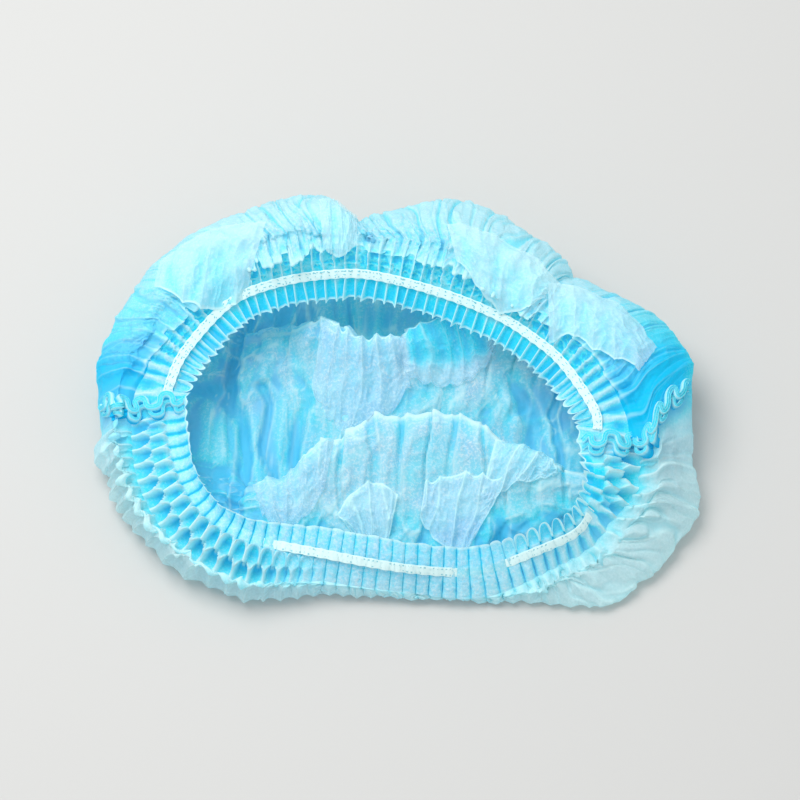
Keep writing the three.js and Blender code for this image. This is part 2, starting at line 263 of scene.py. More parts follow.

# How the cloth looks at each of those rows. ruffle is its share of the full width, and fin the
# pleats' form, from 0, flat panels with narrow grooves, to 1, thin fins with flat valleys. free and
# skirt are the pleats' height at the free edge and on the skirt, and over is how far the puff rolls
# back over the skirt. loop turns the ruffle's pleats into round fingers. curl is how far the ruffle
# bends up and drop how steeply the skirt falls, in degrees. cusp gives the skirt sharp crests,
# scales gives it pockets, clear lets the table show through, deep and hem make the colour of puff
# and hem strong, with painted shade in the hem's valleys and on the puff near the welds and a deeper
# tone where the cloth lies in layers, and sunk puts the elastic under the pleats.
LOOK_COLUMNS = [
    "ruffle", "fin", "free", "skirt", "loop", "over", "curl", "drop", "cusp", "scales",
    "clear", "deep", "hem", "sunk",
]
LOOK_ROWS = [
    [0.6, 0.9, 3.2, 4.0, 0, 0, 10, 30, 1, 0.6, 0.1, 1, 1, 0.8],  # right weld
    [0.9, 0.3, 2.5, 2.5, 0.8, 1, 15, 15, 0.3, 0, 0, 1, 1, 0],
    [1, 0.8, 3.0, 2.0, 0, 5.5, 0, 0, 0, 0, 0.2, 0.4, 0.6, 0],
    [1, 1.0, 2.7, 2.0, 0, 8, 0, 0, 0, 0, 0.3, 0.1, 0.5, 0],
    [1, 1.0, 2.7, 2.0, 0, 8, 0, 0, 0, 0, 0.3, 0, 0.45, 0],
    [1, 1.0, 2.7, 2.0, 0, 4.5, 0, 0, 0, 0, 0.3, 0, 0.45, 0],
    [1, 1.0, 2.7, 2.0, 0, 4.5, 0, 0, 0, 0, 0.3, 0.1, 0.5, 0],
    [1, 1.0, 2.7, 2.0, 0, 5.5, 0, 0, 0, 0, 0.3, 0, 0.45, 0],
    [1, 1.0, 2.7, 2.0, 0, 7.5, 0, 0, 0, 0, 0.3, 0, 0.45, 0],
    [1, 1.0, 2.7, 2.0, 0, 7, 0, 0, 0, 0, 0.3, 0.15, 0.55, 0],
    [1, 0.6, 3.0, 2.0, 0.3, 5, 0, 0, 0, 0, 0.2, 0.6, 0.6, 0],
    [0.9, 0.3, 2.5, 2.5, 1, 1.5, 15, 15, 0.3, 0, 0, 1, 0.8, 0],
    [0.6, 0.4, 3.0, 4.0, 0, 0, 10, 30, 1, 0.6, 0.3, 1, 1, 0.8],  # left weld
    [0.45, 0.25, 2.6, 5.5, 0, 0, 50, 25, 1, 1, 1, 0, 1, 1],
    [0.45, 0.2, 2.6, 5.5, 0, 0, 50, 25, 1, 1, 1, 0, 1, 1],
    [0.6, 0.1, 2.4, 4.0, 0, 0, 30, 20, 0.7, 1, 1, 0, 0.8, 1],
    [0.9, 0.0, 2.4, 2.4, 0, 0, 0, 5, 0, 0, 0.8, 0.05, 0.6, 0],
    [0.9, 0.0, 2.4, 2.4, 0, 0, 0, 0, 0, 0, 0.7, 0.1, 0.6, 0],
    [0.9, 0.1, 2.6, 2.6, 0, 0, 0, 0, 0, 0, 0.7, 0.1, 0.6, 0.95],
    [1, 0.2, 2.0, 2.4, 0.9, 0, 5, 0, 0.3, 0, 0.75, 0.05, 0.45, 0],
    [1, 0.2, 2.0, 2.4, 1, 0, 5, 0, 0.5, 0, 0.72, 0.05, 0.45, 0.1],
    [0.9, 0.3, 2.0, 2.8, 0.9, 0, 5, 10, 0.8, 0, 0.75, 0.05, 0.5, 0.8],
    [0.5, 0.9, 3.4, 4.5, 0, 0, 5, 30, 1, 0.9, 0.75, 0.1, 0.8, 1],
    [0.45, 0.9, 3.4, 5.0, 0, 0, 0, 35, 1, 1, 0.6, 0.3, 1, 1],
]

# How the cloth lies inside, along lines from the front foot (0) to the back foot (1), across from
# the right weld (0) to the left weld (1). Two folds stand up like breaking waves: each has its
# crest's place and height, and where its front slope ends.
INSIDE_COLUMNS = ["across", "backAt", "backUp", "backEnd", "frontAt", "frontUp", "frontEnd"]
INSIDE_TABLE = [
    [0, 0.72, 0, 0.56, 0.44, 0, 0.25],
    [0.12, 0.74, 0.06, 0.56, 0.4, 0.08, 0.28],
    [0.22, 0.77, 0.12, 0.56, 0.4, 0.29, 0.27],
    [0.3, 0.77, 0.3, 0.56, 0.41, 0.4, 0.16],
    [0.38, 0.725, 0.4, 0.53, 0.45, 0.46, 0.15],
    [0.5, 0.69, 0.38, 0.52, 0.45, 0.46, 0.15],
    [0.58, 0.71, 0.44, 0.52, 0.37, 0.4, 0.13],
    [0.64, 0.72, 0.17, 0.54, 0.28, 0.24, 0.13],
    [0.72, 0.72, 0.05, 0.56, 0.3, 0.04, 0.14],
    [0.82, 0.72, 0, 0.56, 0.35, 0, 0.16],
    [1, 0.72, 0, 0.56, 0.4, 0, 0.2],
]

# The two slopes of each standing fold, as places from its crest (0) to the slope's end (1) with their
# share of the fold's height. TUCK is how far behind the crest of a low and of a tall fold its steep
# slope ends, as a share of the way from foot to foot. DRAWN_IN is how far the cloth is drawn in at
# both ends.
BACK_TUCK = [(1, 0.12), (0.4, 0.7), (0, 1)]
BACK_SLOPE = [(0, 1), (0.15, 0.93), (0.45, 0.62), (1, 0.2)]
FRONT_TUCK = [(1, 0.1), (0.4, 0.65), (0, 1)]
FRONT_SLOPE = [(0, 1), (0.15, 0.93), (0.4, 0.72), (0.7, 0.42), (1, 0.1)]
TUCK = (0.08, 0.018)
DRAWN_IN = 3.2

# Colours. Each mesh of cloth has four values from 0 to 1 at its points: deep makes it darker from
# PALE over DEEP to DARK, mostly painted shade in valleys, grooves, pockets, crumple and under the
# rim, partly a deeper tone where the cloth lies in layers; line brings it to BRIGHT, a painted
# highlight on crests, rims and fold lines that also makes the cut edges paler; clear lets the table
# show through and fades it to FAINT, and grey adds clouds of LILAC and bright specks.
PALE = (0.53, 0.94, 1.0, 1)
DEEP = (0.0, 0.84, 0.99, 1)
DARK = (0.0, 0.62, 0.94, 1)
BRIGHT = (0.76, 1.0, 1.0, 1)
LILAC = (0.45, 0.68, 0.92, 1)
FAINT = (0.9, 1.0, 1.0, 1)
SPECK = (0.92, 0.98, 1.0, 1)
SEEN_THROUGH = (0.88, 1.0, 1.0, 1)
SHEEN = (0.45, 0.97, 1.0, 1)
BAND_WHITE = (0.72, 0.97, 0.97, 1)
BAND_GAP = (0.04, 0.5, 0.62, 1)
THREAD_BLUE = (0.1, 0.58, 0.7, 1)
TABLE_GREY = (0.51, 0.51, 0.496, 1)

# Floor, light and camera. Their sizes and places are in metres.
FLOOR_SIZE = 6
SKY = (0.97, 0.98, 1, 1)
SKY_STRENGTH = 0.805
KEY_SIZE = 0.8
KEY_ENERGY = 13.5
KEY_PLACE = (-0.4, 0.25, 1.15)
CAMERA_ELEVATION = 62
FRAME_WIDTH = 0.332
CAMERA_DISTANCE = 2.0
TARGET = Vector((0.0008, 0, 0.0179))


def smooth(x, low, high):
    """0 below low, 1 above high, and a smooth step between."""
    s = np.clip((x - low) / (high - low), 0, 1)
    return s * s * (3 - 2 * s)


def mix(a, b, share):
    return a + (b - a) * share


def window(x, rise, full, fall, end):
    """0 below rise, 1 from full to fall, and 0 again above end, with smooth steps between."""
    return smooth(x, rise, full) * (1 - smooth(x, fall, end))


def bell(x, width):
    """1 at 0, falling evenly to both sides, to a third at this width."""
    return np.exp(-((x / width) ** 2))


def unit(v):
    return v / np.maximum(np.linalg.norm(v, axis=-1, keepdims=True), 1e-9)


def noise(x, y, seed, wrap=4096):
    """Smooth noise from -1 to 1 with one bump for each unit of x and y; x repeats after wrap."""
    side = 256
    table = np.random.default_rng(seed).uniform(-1, 1, (side, side))
    x, y = np.broadcast_arrays(np.asarray(x, float), np.asarray(y, float))
    i, j = np.floor(x).astype(int), np.floor(y).astype(int)
    u, v = smooth(x - i, 0, 1), smooth(y - j, 0, 1)
    i0, i1 = i % wrap % side, (i + 1) % wrap % side
    j0, j1 = j % side, (j + 1) % side
    low = mix(table[i0, j0], table[i1, j0], u)
    high = mix(table[i0, j1], table[i1, j1], u)
    return mix(low, high, v)


def creases(x, y, seed, wrap=4096):
    """Crumple from 0 to 1: flat facets that meet in sharp lines."""
    first = 1 - np.abs(noise(x, y, seed, wrap))
    second = 1 - np.abs(noise(2 * x + 0.7 * first, 2 * y, seed + 1, 2 * wrap))
    return (first**2 + 0.5 * second**2) / 1.5


def facets(turns, seed, width=0.2):
    """Pleated cloth seen from outside, one pleat for each unit of turns.

    Gives the height of flat uneven panels, the narrow sunk strips between them, both from 0 to 1,
    and the sharp fold line where a panel meets its strip. The strips also carry painted shade and the
    fold line a painted highlight.
    """
    number = np.floor(turns)
    u = turns - number
    random = np.random.default_rng(seed).uniform(-1, 1, (3, 512))
    lean, size, wide = (row[number.astype(int) % 512] for row in random)
    wide = width * (1 + 0.5 * wide)
    strip = window(u, 0, 0.05, wide, wide + 0.08)
    along = np.clip((u - wide) / (1 - wide), 0, 1)
    panel = 0.5 + 0.25 * size + 0.45 * lean * (along - 0.5) + 0.5 * along * (1 - along)
    return panel * (1 - strip), strip, bell(np.minimum(u, 1 - u), 0.035)


def hermite(p1, p2, m1, m2, s):
    """The cubic from p1 (s = 0) to p2 (s = 1) with these slopes at its ends."""
    a = 2 * s**3 - 3 * s**2
    return (a + 1) * p1 + (s**3 - 2 * s**2 + s) * m1 - a * p2 + (s**3 - s**2) * m2


def cubic(p0, p1, p2, p3, s):
    """The Catmull-Rom curve from p1 (s = 0) to p2 (s = 1)."""
    return hermite(p1, p2, (p2 - p0) / 2, (p3 - p1) / 2, s)


def closed_curve(points, t):
    """A closed Catmull-Rom curve through the points; t goes from 0 to 1 round it."""
    points = np.asarray(points, float)
    at = (t % 1.0) * len(points)
    k = np.floor(at).astype(int)
    return cubic(*(points[(k + d) % len(points)] for d in (-1, 0, 1, 2)), (at - k)[:, None])


def open_line(points, t):
    """An open Catmull-Rom curve through the points; t goes from 0 to 1 along it."""
    points = np.asarray(points, float)
    ends = np.concatenate([[2 * points[0] - points[1]], points, [2 * points[-1] - points[-2]]])
    at = t * (len(points) - 1)
    k = np.minimum(np.floor(at).astype(int), len(points) - 2)
    return cubic(*(ends[k + d] for d in (0, 1, 2, 3)), (at - k)[:, None])


def open_curve(knots, steps):
    """Centripetal Catmull-Rom lines through knots[k][column], with steps[k] rows between two."""
    first = 2 * knots[0] - knots[1]
    last = 2 * knots[-1] - knots[-2]
    p = np.concatenate([first[None], knots, last[None]])
    d = np.maximum(np.linalg.norm(np.diff(p, axis=0), axis=-1, keepdims=True), 1e-3) ** 0.5
    rows = []
    for k, count in enumerate(steps):
        p0, p1, p2, p3 = p[k : k + 4]
        d0, d1, d2 = d[k : k + 3]
        m1 = ((p1 - p0) / d0 - (p2 - p0) / (d0 + d1) + (p2 - p1) / d1) * d1
        m2 = ((p2 - p1) / d1 - (p3 - p1) / (d1 + d2) + (p3 - p2) / d2) * d1
        rows += [hermite(p1, p2, m1, m2, s) for s in np.arange(count) / count]
    return np.array(rows + [knots[-1]])


# The curves round the mouth, and the rim's length up to each of these times on its curve.
ROWS = np.array(BACK_ROWS + FRONT_ROWS)
HALF_SIZE = np.array([CAP_LENGTH / 2, CAP_DEPTH / 2, CAP_HEIGHT])
RIM = ROWS[:, 0:3] * HALF_SIZE
EDGE = ROWS[:, 4:7] * HALF_SIZE
SLOPE = np.stack([ROWS[:, 3], ROWS[:, 7] * CAP_HEIGHT], axis=1)
STEPS_PER_ROW = 60
TIMES = np.linspace(0, 1, len(ROWS) * STEPS_PER_ROW + 1)
STEPS = np.linalg.norm(np.diff(closed_curve(RIM, TIMES), axis=0), axis=1)
LENGTHS = np.concatenate([[0], np.cumsum(STEPS)])
RIM_LENGTH = LENGTHS[-1]
LEFT_SHARE = LENGTHS[len(BACK_ROWS) * STEPS_PER_ROW] / RIM_LENGTH


def sections(place):
    """The cap's sections at places round the mouth: 0 is the right weld, 0.5 the left weld.

    loose tells how far the cloth is free to pleat, from 0 at the welds.
    """
    turn = place % 1.0
    late = LEFT_SHARE + (turn * 2 - 1) * (1 - LEFT_SHARE)
    share = np.where(turn < 0.5, turn * 2 * LEFT_SHARE, late)
    t = np.interp(share * RIM_LENGTH, LENGTHS, TIMES)
    near = 1e-4
    along = closed_curve(RIM, t + near) - closed_curve(RIM, t - near)
    along[:, 2] = 0
    along = unit(along)
    slope = closed_curve(SLOPE, t)
    look = dict(zip(LOOK_COLUMNS, closed_curve(LOOK_ROWS, t).T))
    for name in ("fin", "loop", "cusp", "scales", "clear", "deep", "hem", "sunk"):
        look[name] = np.clip(look[name], 0, 1)
    for name in ("over", "curl", "drop"):
        look[name] = np.maximum(look[name], 0)
    to_weld = np.minimum(turn % 0.5, 0.5 - turn % 0.5) * 2 * PLEATS_BACK
    look["deep"] = look["deep"] * np.where(turn < 0.5, 1, 1 - smooth(to_weld, 0.5, 2.5))
    return SimpleNamespace(
        **look,
        place=turn,
        middle=closed_curve(RIM, t),
        edge=closed_curve(EDGE, t),
        along=along,
        out=np.stack([along[:, 1], -along[:, 0], 0 * t], axis=1),
        tilt=slope[:, 0],
        crest=slope[:, 1],
        loose=smooth(to_weld, 0, 3),
    )


def hem_columns():
    """Places and pleat phases of the mesh's columns, denser at fins and at grooves."""
    places, phases = [], []
    for start, pleats in ((0, PLEATS_BACK), (0.5, PLEATS_FRONT)):
        k = np.arange(pleats * SAMPLES) / SAMPLES
        turn = 2 * math.pi * k
        fin = sections(start + k / pleats / 2).fin
        phase = turn - 0.6 * (2 * fin - 1) * np.sin(turn)
        places.append(start + phase / (2 * math.pi) / pleats / 2)
        phases.append(phase)
    return np.concatenate(places + [[1.0]]), np.concatenate(phases + [[0.0]])


def pleat(phase, fin):
    """A pleat's height from 0 to 1, with its crest at phase 0."""
    power = np.exp(mix(math.log(0.1), math.log(6.5), fin))
    return ((1 + np.cos(phase)) / 2) ** power


def cusps(phase):
    """The same for pleats with sharp crests and round valleys."""
    return 1 - np.abs(np.sin(phase / 2)) ** 0.9


def scales(phase, w):
    """Two staggered rows of pockets like fish scales outside the elastic, round on their inner side.

    Gives how deep the pockets are, the painted shade in them, and where their rims run, which are
    raised and painted bright as a highlight, all from 0 to 1.
    """
    pocket, shade, rim = np.zeros((3, len(w), len(phase)))
    for row, (start, length) in enumerate(SCALE_ROWS):
        u = np.abs((phase + math.pi * (row + 1)) % (2 * math.pi) - math.pi) / math.pi
        v = (w - start) / length
        half = 0.93 * (1 - (1 - np.clip(v / 0.55, 0, 1)) ** 2.2) ** 0.6
        here = smooth(half - u, -0.04, 0.3) * smooth(v, 0, 0.12)
        pocket = np.maximum(pocket, here * (1 - smooth(v, 0.45, 1.1)))
        shade = np.maximum(shade, here * (1 - 0.7 * smooth(v, 0.2, 1)) * (1 - smooth(v, 0.95, 1.1)))
        rim = np.maximum(rim, bell(half - u + 0.02, 0.22) * window(v, 0, 0.12, 0.95, 1.15))
    return pocket, shade, rim


def normals(grid):
    """Unit normals of a grid of points, rows first."""
    down = np.gradient(grid, axis=0)
    across = np.gradient(grid, axis=1)
    return unit(np.cross(down, across))


def fingers(phase, inner, ruffle):
    """Round fingers at the ruffle's free edge: how far they reach, and the distance from their rim."""
    u = np.abs((phase + math.pi) % (2 * math.pi) - math.pi) / math.pi
    arch = np.sqrt(np.clip(1 - u**2.6, 0, 1))
    reach = LOOP_FOOT + (1 - LOOP_FOOT) * arch
    steep = RUFFLE * ruffle * (1 - LOOP_FOOT) * 1.3 * u**1.6 / np.maximum(arch, 0.1) / LOOP_HALF
    return reach, (1 - inner) * reach * RUFFLE * ruffle / np.sqrt(1 + steep**2)


def hem_directions(s, angle):
    """Outwards on the hem, and out of its face, where it slopes at this angle."""
    sine, cosine = np.sin(angle)[..., None], np.cos(angle)[..., None]
    return cosine * s.out + sine * UP, cosine * UP - sine * s.out


def hem_sheet(s, w, angle, reach):
    """The hem before it is pleated, summed from the middle of the elastic, and its directions."""
    ahead, face = hem_directions(s, angle)
    run = w + np.maximum(0, w - SEAT) * SCALE_STRETCH * s.scales
    run = run + np.maximum(0, -w - SEAT) * (1 - s.ruffle * reach)
    half_steps = (ahead[1:] + ahead[:-1]) / 2 * np.diff(run, axis=0)[..., None]
    grid = np.concatenate([np.zeros((1, *s.out.shape)), np.cumsum(half_steps, axis=0)])
    return grid - grid[np.argmin(np.abs(w))] + s.middle, ahead, face


def hem_grid(s, phase):
    """Points of the hem from the ruffle's free edge to the skirt's end, with their colour values, which
    carry painted shade and painted highlights.
    """
    w = np.concatenate(
        [
            np.linspace(-SEAT - RUFFLE, -SEAT, RUFFLE_ROWS)[:-1],
            np.linspace(-SEAT, SEAT, SEAT_ROWS)[:-1],
            np.linspace(SEAT, SEAT + HEM_SKIRT, SKIRT_ROWS),
        ]
    )[:, None]
    inner = np.clip((-w - SEAT) / RUFFLE, 0, 1)
    outer = np.clip((w - SEAT) / HEM_SKIRT, 0, 1)
    step_down = smooth(outer, 0.1, 0.35) * (1 - 0.7 * smooth(outer, 0.75, 0.95))
    angle = np.radians(s.tilt - s.curl * inner**0.6 - s.drop * step_down)
    looped = s.loop * s.loose
    reach, to_rim = fingers(phase, inner, s.ruffle)
    grid, ahead, face = hem_sheet(s, w, angle, mix(1, reach, looped))

    # The pleats, fine at the elastic, higher at the free edge and on the skirt.
    number = s.place * np.where(s.place < 0.5, PLEATS_BACK, PLEATS_FRONT) * 2
    uneven = 1 + 0.3 * noise(number, 0, 11)
    tip = smooth(outer, 0.05, 0.62) * (1 - 0.6 * smooth(outer, 0.72, 0.95))
    height = np.where(w < 0, mix(SEAT_PLEAT, s.free, inner**0.7), mix(SEAT_PLEAT, s.skirt, tip))
    height = height * uneven * s.loose
    cusp = s.cusp * smooth(outer, 0.1, 0.5)
    curled = smooth(s.curl, 10, 35) * inner
    y = mix(pleat(phase, s.fin), cusps(phase), cusp)
    relief = height * (y - mix(mix(1 - s.fin, 0.35, cusp), 0.6, curled))
    pocket, shade, rim = scales(phase, w)
    on_scale = s.scales * s.loose * smooth(outer, 0, 0.06)
    relief = mix(relief, SCALE_DEPTH * (0.35 - pocket + 0.45 * rim) * uneven, on_scale)
    finger = 1.3 * bell(to_rim, LOOP_RIM) - 1.4 * (1 - bell(to_rim, 2 * LOOP_RIM))
    relief = mix(relief, finger, looped * smooth(inner, 0, 0.3))

    # Pleats lean to one side, and crumple roughens the flat ones and those under the rolled puff.
    plain = (1 - on_scale) * (1 - looped)
    lean = (0.5 * noise(number * 0.23, 3, 12) + 0.3 * noise(number, w * 0.1, 13)) * plain
    crushed = smooth(s.over, 2, 4) * window(outer, 0.0, 0.2, 0.9, 1)
    crinkle = creases(s.place * 300, w / 1.7, 34, 300)
    dented = 0.45 * (1 - s.fin) * plain * (1 - smooth(outer, 0.9, 1))
    relief = relief + (crinkle - 0.4) * (1.5 * crushed + dented)
    grid = grid + relief[..., None] * face + (relief * lean)[..., None] * s.along

    # The free edge is a little uneven, and longer at the crests.
    wavy = s.cusp * s.fin * s.loose
    longer = 0.5 * noise(number * 1.3, 5, 14) + 0.9 * y * (1 - looped) + 1.6 * wavy * np.cos(phase)
    grid = grid - (inner**2 * longer)[..., None] * ahead

    # Colour values: deep is painted shade in the pleats' valleys and grooves, in the pockets, in the
    # crinkle under the rolled puff and inside the loops, plus a deeper tone on the whole hem where the
    # cloth lies in layers; line is painted highlight on the fins' crests, the sharp crests and the rims
    # of pockets and loops, and brightens the free edge, its paler cut edge together with a painted
    # highlight.
    flat = 1 - s.fin
    valley = mix(1 - y, shade, on_scale)
    deep = valley * mix(0.55, 1, s.hem) * smooth(height, 0.4, 2.2)
    deep = deep + 0.18 * s.hem + flat * 0.8 * smooth(1 - y, 0.3, 0.7) * (1 - on_scale)
    deep = deep * (1 - 0.4 * crushed) + 0.6 * crushed * smooth(1 - crinkle, 0.45, 0.75)
    deep = deep + 0.5 * dented * smooth(1 - crinkle, 0.5, 0.8)
    rim_highlight = (1 - smooth(to_rim, LOOP_RIM, LOOP_RIM + 0.5)) * looped * smooth(inner, 0, 0.1)
    deep = mix(deep, 0.8 * (1 - rim_highlight), looped * smooth(inner, 0, 0.2))
    fins = 0.9 * y**4 * s.fin * (1 - looped * inner**0.3) * (1 - curled)
    edge_line = smooth(inner, mix(0.9, 0.66, wavy), mix(0.96, 0.8, wavy)) * (1 - looped) + rim_highlight
    line = mix(edge_line + fins + smooth(y, 0.75, 1) * cusp, rim + edge_line, on_scale)
    clear = 0.3 * s.clear * outer * (1 - on_scale) + 0.03
    return grid, {"deep": deep, "line": line, "clear": clear, "grey": flat * 0.5 * (1 - valley)}


def fold_turns(s, reach):
    """The puff's pleats counted round the mouth, bending a little on their way out."""
    folds = np.where(s.place < 0.5, FOLDS_BACK, FOLDS_FRONT) * 2
    slow = 0.5 * noise(s.place * 26, 1, 21, 26)
    bend = 0.45 * noise(s.place * 60, reach * 3, 22, 60) - 0.45 * noise(s.place * 60, 0, 22, 60)
    return folds * s.place + slow + bend


def notch_dents(s):
    """How far the notches pull the edge of the back puff inwards, in millimetres."""
    x = s.edge[:, 0]
    dent = 0 * x
    for at, depth, width in NOTCHES:
        near = np.clip(1 - np.abs(x - at) / width, 0, 1)
        dent = dent + depth * near**1.5 - 2.0 * bell((x - at) / width, 3)
    return dent * (s.place < 0.5)


def puff_base(s, start):
    """The puff without its pleats: lines from the hem over a rolled lip, crest and edge to the foot.

    Also gives how much room there is between hem and edge, from 0 to 1.
    """
    lobe = facets(fold_turns(s, 0) / 1.5, 28)[0][:, None]
    second = smooth(noise(s.place * 30, 7, 23, 30), -0.2, 0.6)[:, None]
    over = (s.over * s.loose * (1 + 0.35 * noise(s.place * 50, 9, 27, 50)))[:, None]
    room = np.clip(np.sum((s.edge - start) * s.out, axis=1) / FULL_ROOM, 0, 1)[:, None]
    rise = np.maximum(0, s.crest - start[:, 2])[:, None]
    clear_front = s.clear * (s.place > 0.5)
    ragged = 2.6 * noise(s.place * 44, 2, 20, 44) + 1.6 * noise(s.place * 120, 4, 19, 120)
    lobes = ragged * mix(0.3, 1, clear_front) * room[:, 0]
    lobes = lobes + 1.8 * np.maximum(0, noise(s.place * 90, 6, 18, 90)) * clear_front
    edge = s.edge + (lobes - notch_dents(s))[:, None] * s.out
    lip = start + s.out * (LIP * room - over * (0.35 + 0.85 * lobe)) + UP * rise * 0.4
    dip = start + s.out * ((LIP + 2.5) * room + over * 0.2) + UP * rise * 0.5
    roll = start + s.out * ((LIP + 5) * room - over * 0.7 * second * (0.3 + lobe)) + UP * rise * 0.85
    crest = mix(start, edge, CREST_AT)
    crest[:, 2] = s.crest
    foot = mix(s.middle, edge, FOOT_AT)
    foot[:, 2] = REST
    return open_curve(np.stack([start, lip, dip, roll, crest, edge, foot]), PUFF_ROWS), room[:, 0]


def puff_grid(s, phase, start):
    """Points of the puff from the skirt's end over its crest and edge down to its foot."""
    base, room = puff_base(s, start)
    steps = np.linalg.norm(np.diff(base, axis=0), axis=-1)
    reach = np.concatenate([np.zeros((1, len(start))), np.cumsum(steps, axis=0)])
    share = reach / reach[-1]

    # Wide soft pleats with finer ones on them run out to the edge, and crumple is busiest near the hem.
    turns = fold_turns(s, share)
    panel, strip, fold_highlight = facets(turns, 24, 0.1)
    fine_turns = 2.2 * turns + 0.3 * noise(s.place * 90, share * 5, 26, 90)
    small, groove, small_highlight = facets(fine_turns, 29, 0.16)
    body = window(share, 0.0, 0.15, 0.84, 0.97)
    big = noise(s.place * 34, share * 2.5, 25, 34) * 1.5
    fine_pleats = (0.8 * small - 0.4 * groove) * smooth(share, 0.12, 0.3)
    plain = 1 - 0.75 * s.deep
    coarse = (1.7 * panel - 0.7 * strip + fine_pleats - 1.0 + big) * body
    coarse = coarse * mix(1, 0.5, smooth(share, 0.35, 0.6)) * plain
    crumple = creases(s.place * 80, reach / 13, 31, 80)
    busy = window(reach, 0.5, 4, 16, 30) * smooth(s.over, 0.5, 2.5)
    crinkle = creases(s.place * 260, reach / 2.6, 33, 260)
    soft = mix(1.4, 1.1, s.clear)
    move = coarse + (crumple - 0.5) * soft * body + (crinkle - 0.4) * 1.3 * busy

    # The hem's own pleats run on, further where the cloth is clear and near the welds.
    turned = phase + math.pi * s.scales
    far = np.maximum(s.clear, 0.8 * s.deep)
    fade = np.exp(-reach / mix(5, 24, far))
    y = mix(pleat(turned, s.fin), cusps(turned), s.cusp)
    y = mix(y, cusps(turned), far * smooth(reach, 1, 8))
    fine = mix(1.5, s.skirt, 0.5) * (y - 0.4) * fade * (1 - 0.7 * smooth(s.over, 1, 3))
    fine = fine * (1 + 1.1 * far * smooth(reach, 0, 6))
    move = (move + fine - fine[0] * np.exp(-reach / 1.5)) * s.loose
    move = move * mix(mix(0.25, 0.6, s.clear), 1, room)
    grid = base + move[..., None] * normals(base)
    grid[0] = start
    grid[..., 2] = np.maximum(grid[..., 2], REST)

    # Colour values: deep is painted shade in the strips and grooves between the pleats, in the crinkle,
    # near the welds, where it is partly also the tone of stacked layers, and at the foot behind the mouth
    # under the rolled puff, with the hem's deeper tone carried a little way on where the puff is clear;
    # line is painted highlight on fold lines, crumple ridges, the hem's crests and the rolled lip.
    near_weld = s.deep * (1 - smooth(share, 0.5, 0.85))
    thick = mix(1, 0.4, s.clear)
    deep = (0.7 * strip + 0.35 * groove) * body * thick * plain + (1 - y) * 0.4 * fade * thick
    deep = deep + near_weld * 0.95 + 0.35 * busy * smooth(1 - crinkle, 0.55, 0.8)
    spill = bell(reach, 5) * s.hem * smooth(s.clear, 0.4, 0.7)
    painted_foot_shade = smooth(share, 0.72, 1.0) * (s.place < 0.5) * smooth(s.over, 1, 3)
    deep = deep + 0.45 * spill + 0.45 * painted_foot_shade
    line = (0.45 * fold_highlight + 0.3 * small_highlight) * body * plain
    line = line + 0.6 * smooth(crumple, 0.84, 1) * smooth(reach, 3, 9) * (1 - 0.8 * near_weld)
    line = line + 0.8 * smooth(y, 0.75, 1) * fade * np.maximum(s.cusp, far)
    lip_highlight = np.exp(-((np.arange(len(base)) - PUFF_ROWS[0])[:, None] ** 2) / 5)
    line = line + 0.8 * lip_highlight * smooth(s.over, 0.5, 2.5)
    clear = s.clear * mix(0.6, 1, smooth(share, 0.05, 0.3)) * (1 - 0.7 * spill)
    return grid, {"deep": deep, "line": line * (1 - 0.3 * near_weld), "clear": clear, "grey": 0.3 * busy}


def from_line(x, y, points):
    """The distance in plan from a line through the points."""
    points = open_line(points, np.linspace(0, 1, 40))
    nearest = np.full(x.shape, 1e6)
    for a, b in zip(points[:-1], points[1:]):
        step = b - a
        along = np.clip(((x - a[0]) * step[0] + (y - a[1]) * step[1]) / (step @ step), 0, 1)
        nearest = np.minimum(nearest, np.hypot(x - a[0] - along * step[0], y - a[1] - along * step[1]))
    return nearest


def valleys(x, y):
    """How deep the valleys make the cloth inside, the painted shade in them and the painted highlight at
    their rims.
    """
    sway = 1.6 * noise(x / 9, y / 6, 55)
    low, dark, rim = np.zeros((3, *x.shape))
    for half, points in VALLEYS.values():
        away = from_line(x + sway, y, points) / half
        low = np.maximum(low, 1 - smooth(away, 0.2, 2.1))
        dark = np.maximum(dark, 1 - 0.75 * smooth(away, 0.7, 1.35) - 0.25 * smooth(away, 1.3, 4))
        rim = np.maximum(rim, bell(half * (away - 1.7), 0.5))
    return low, dark, rim


def inside_rows(across):
    """The columns of INSIDE_TABLE at places from the right weld (0) to the left weld (1)."""
    table = np.array(INSIDE_TABLE)
    row = np.clip(np.searchsorted(table[:, 0], across, side="right") - 1, 0, len(table) - 2)
    low, high = table[row], table[row + 1]
    s = (across - low[:, 0]) / (high[:, 0] - low[:, 0])
    s = s**3 * (s * (6 * s - 15) + 10)
    return SimpleNamespace(**dict(zip(INSIDE_COLUMNS, mix(low, high, s[:, None]).T)))


def slope_knots(shape, crest, end, up):
    """Knots of one slope of a standing fold: their places between the feet, and heights."""
    return [(mix(crest, end, at), up * share) for at, share in shape]


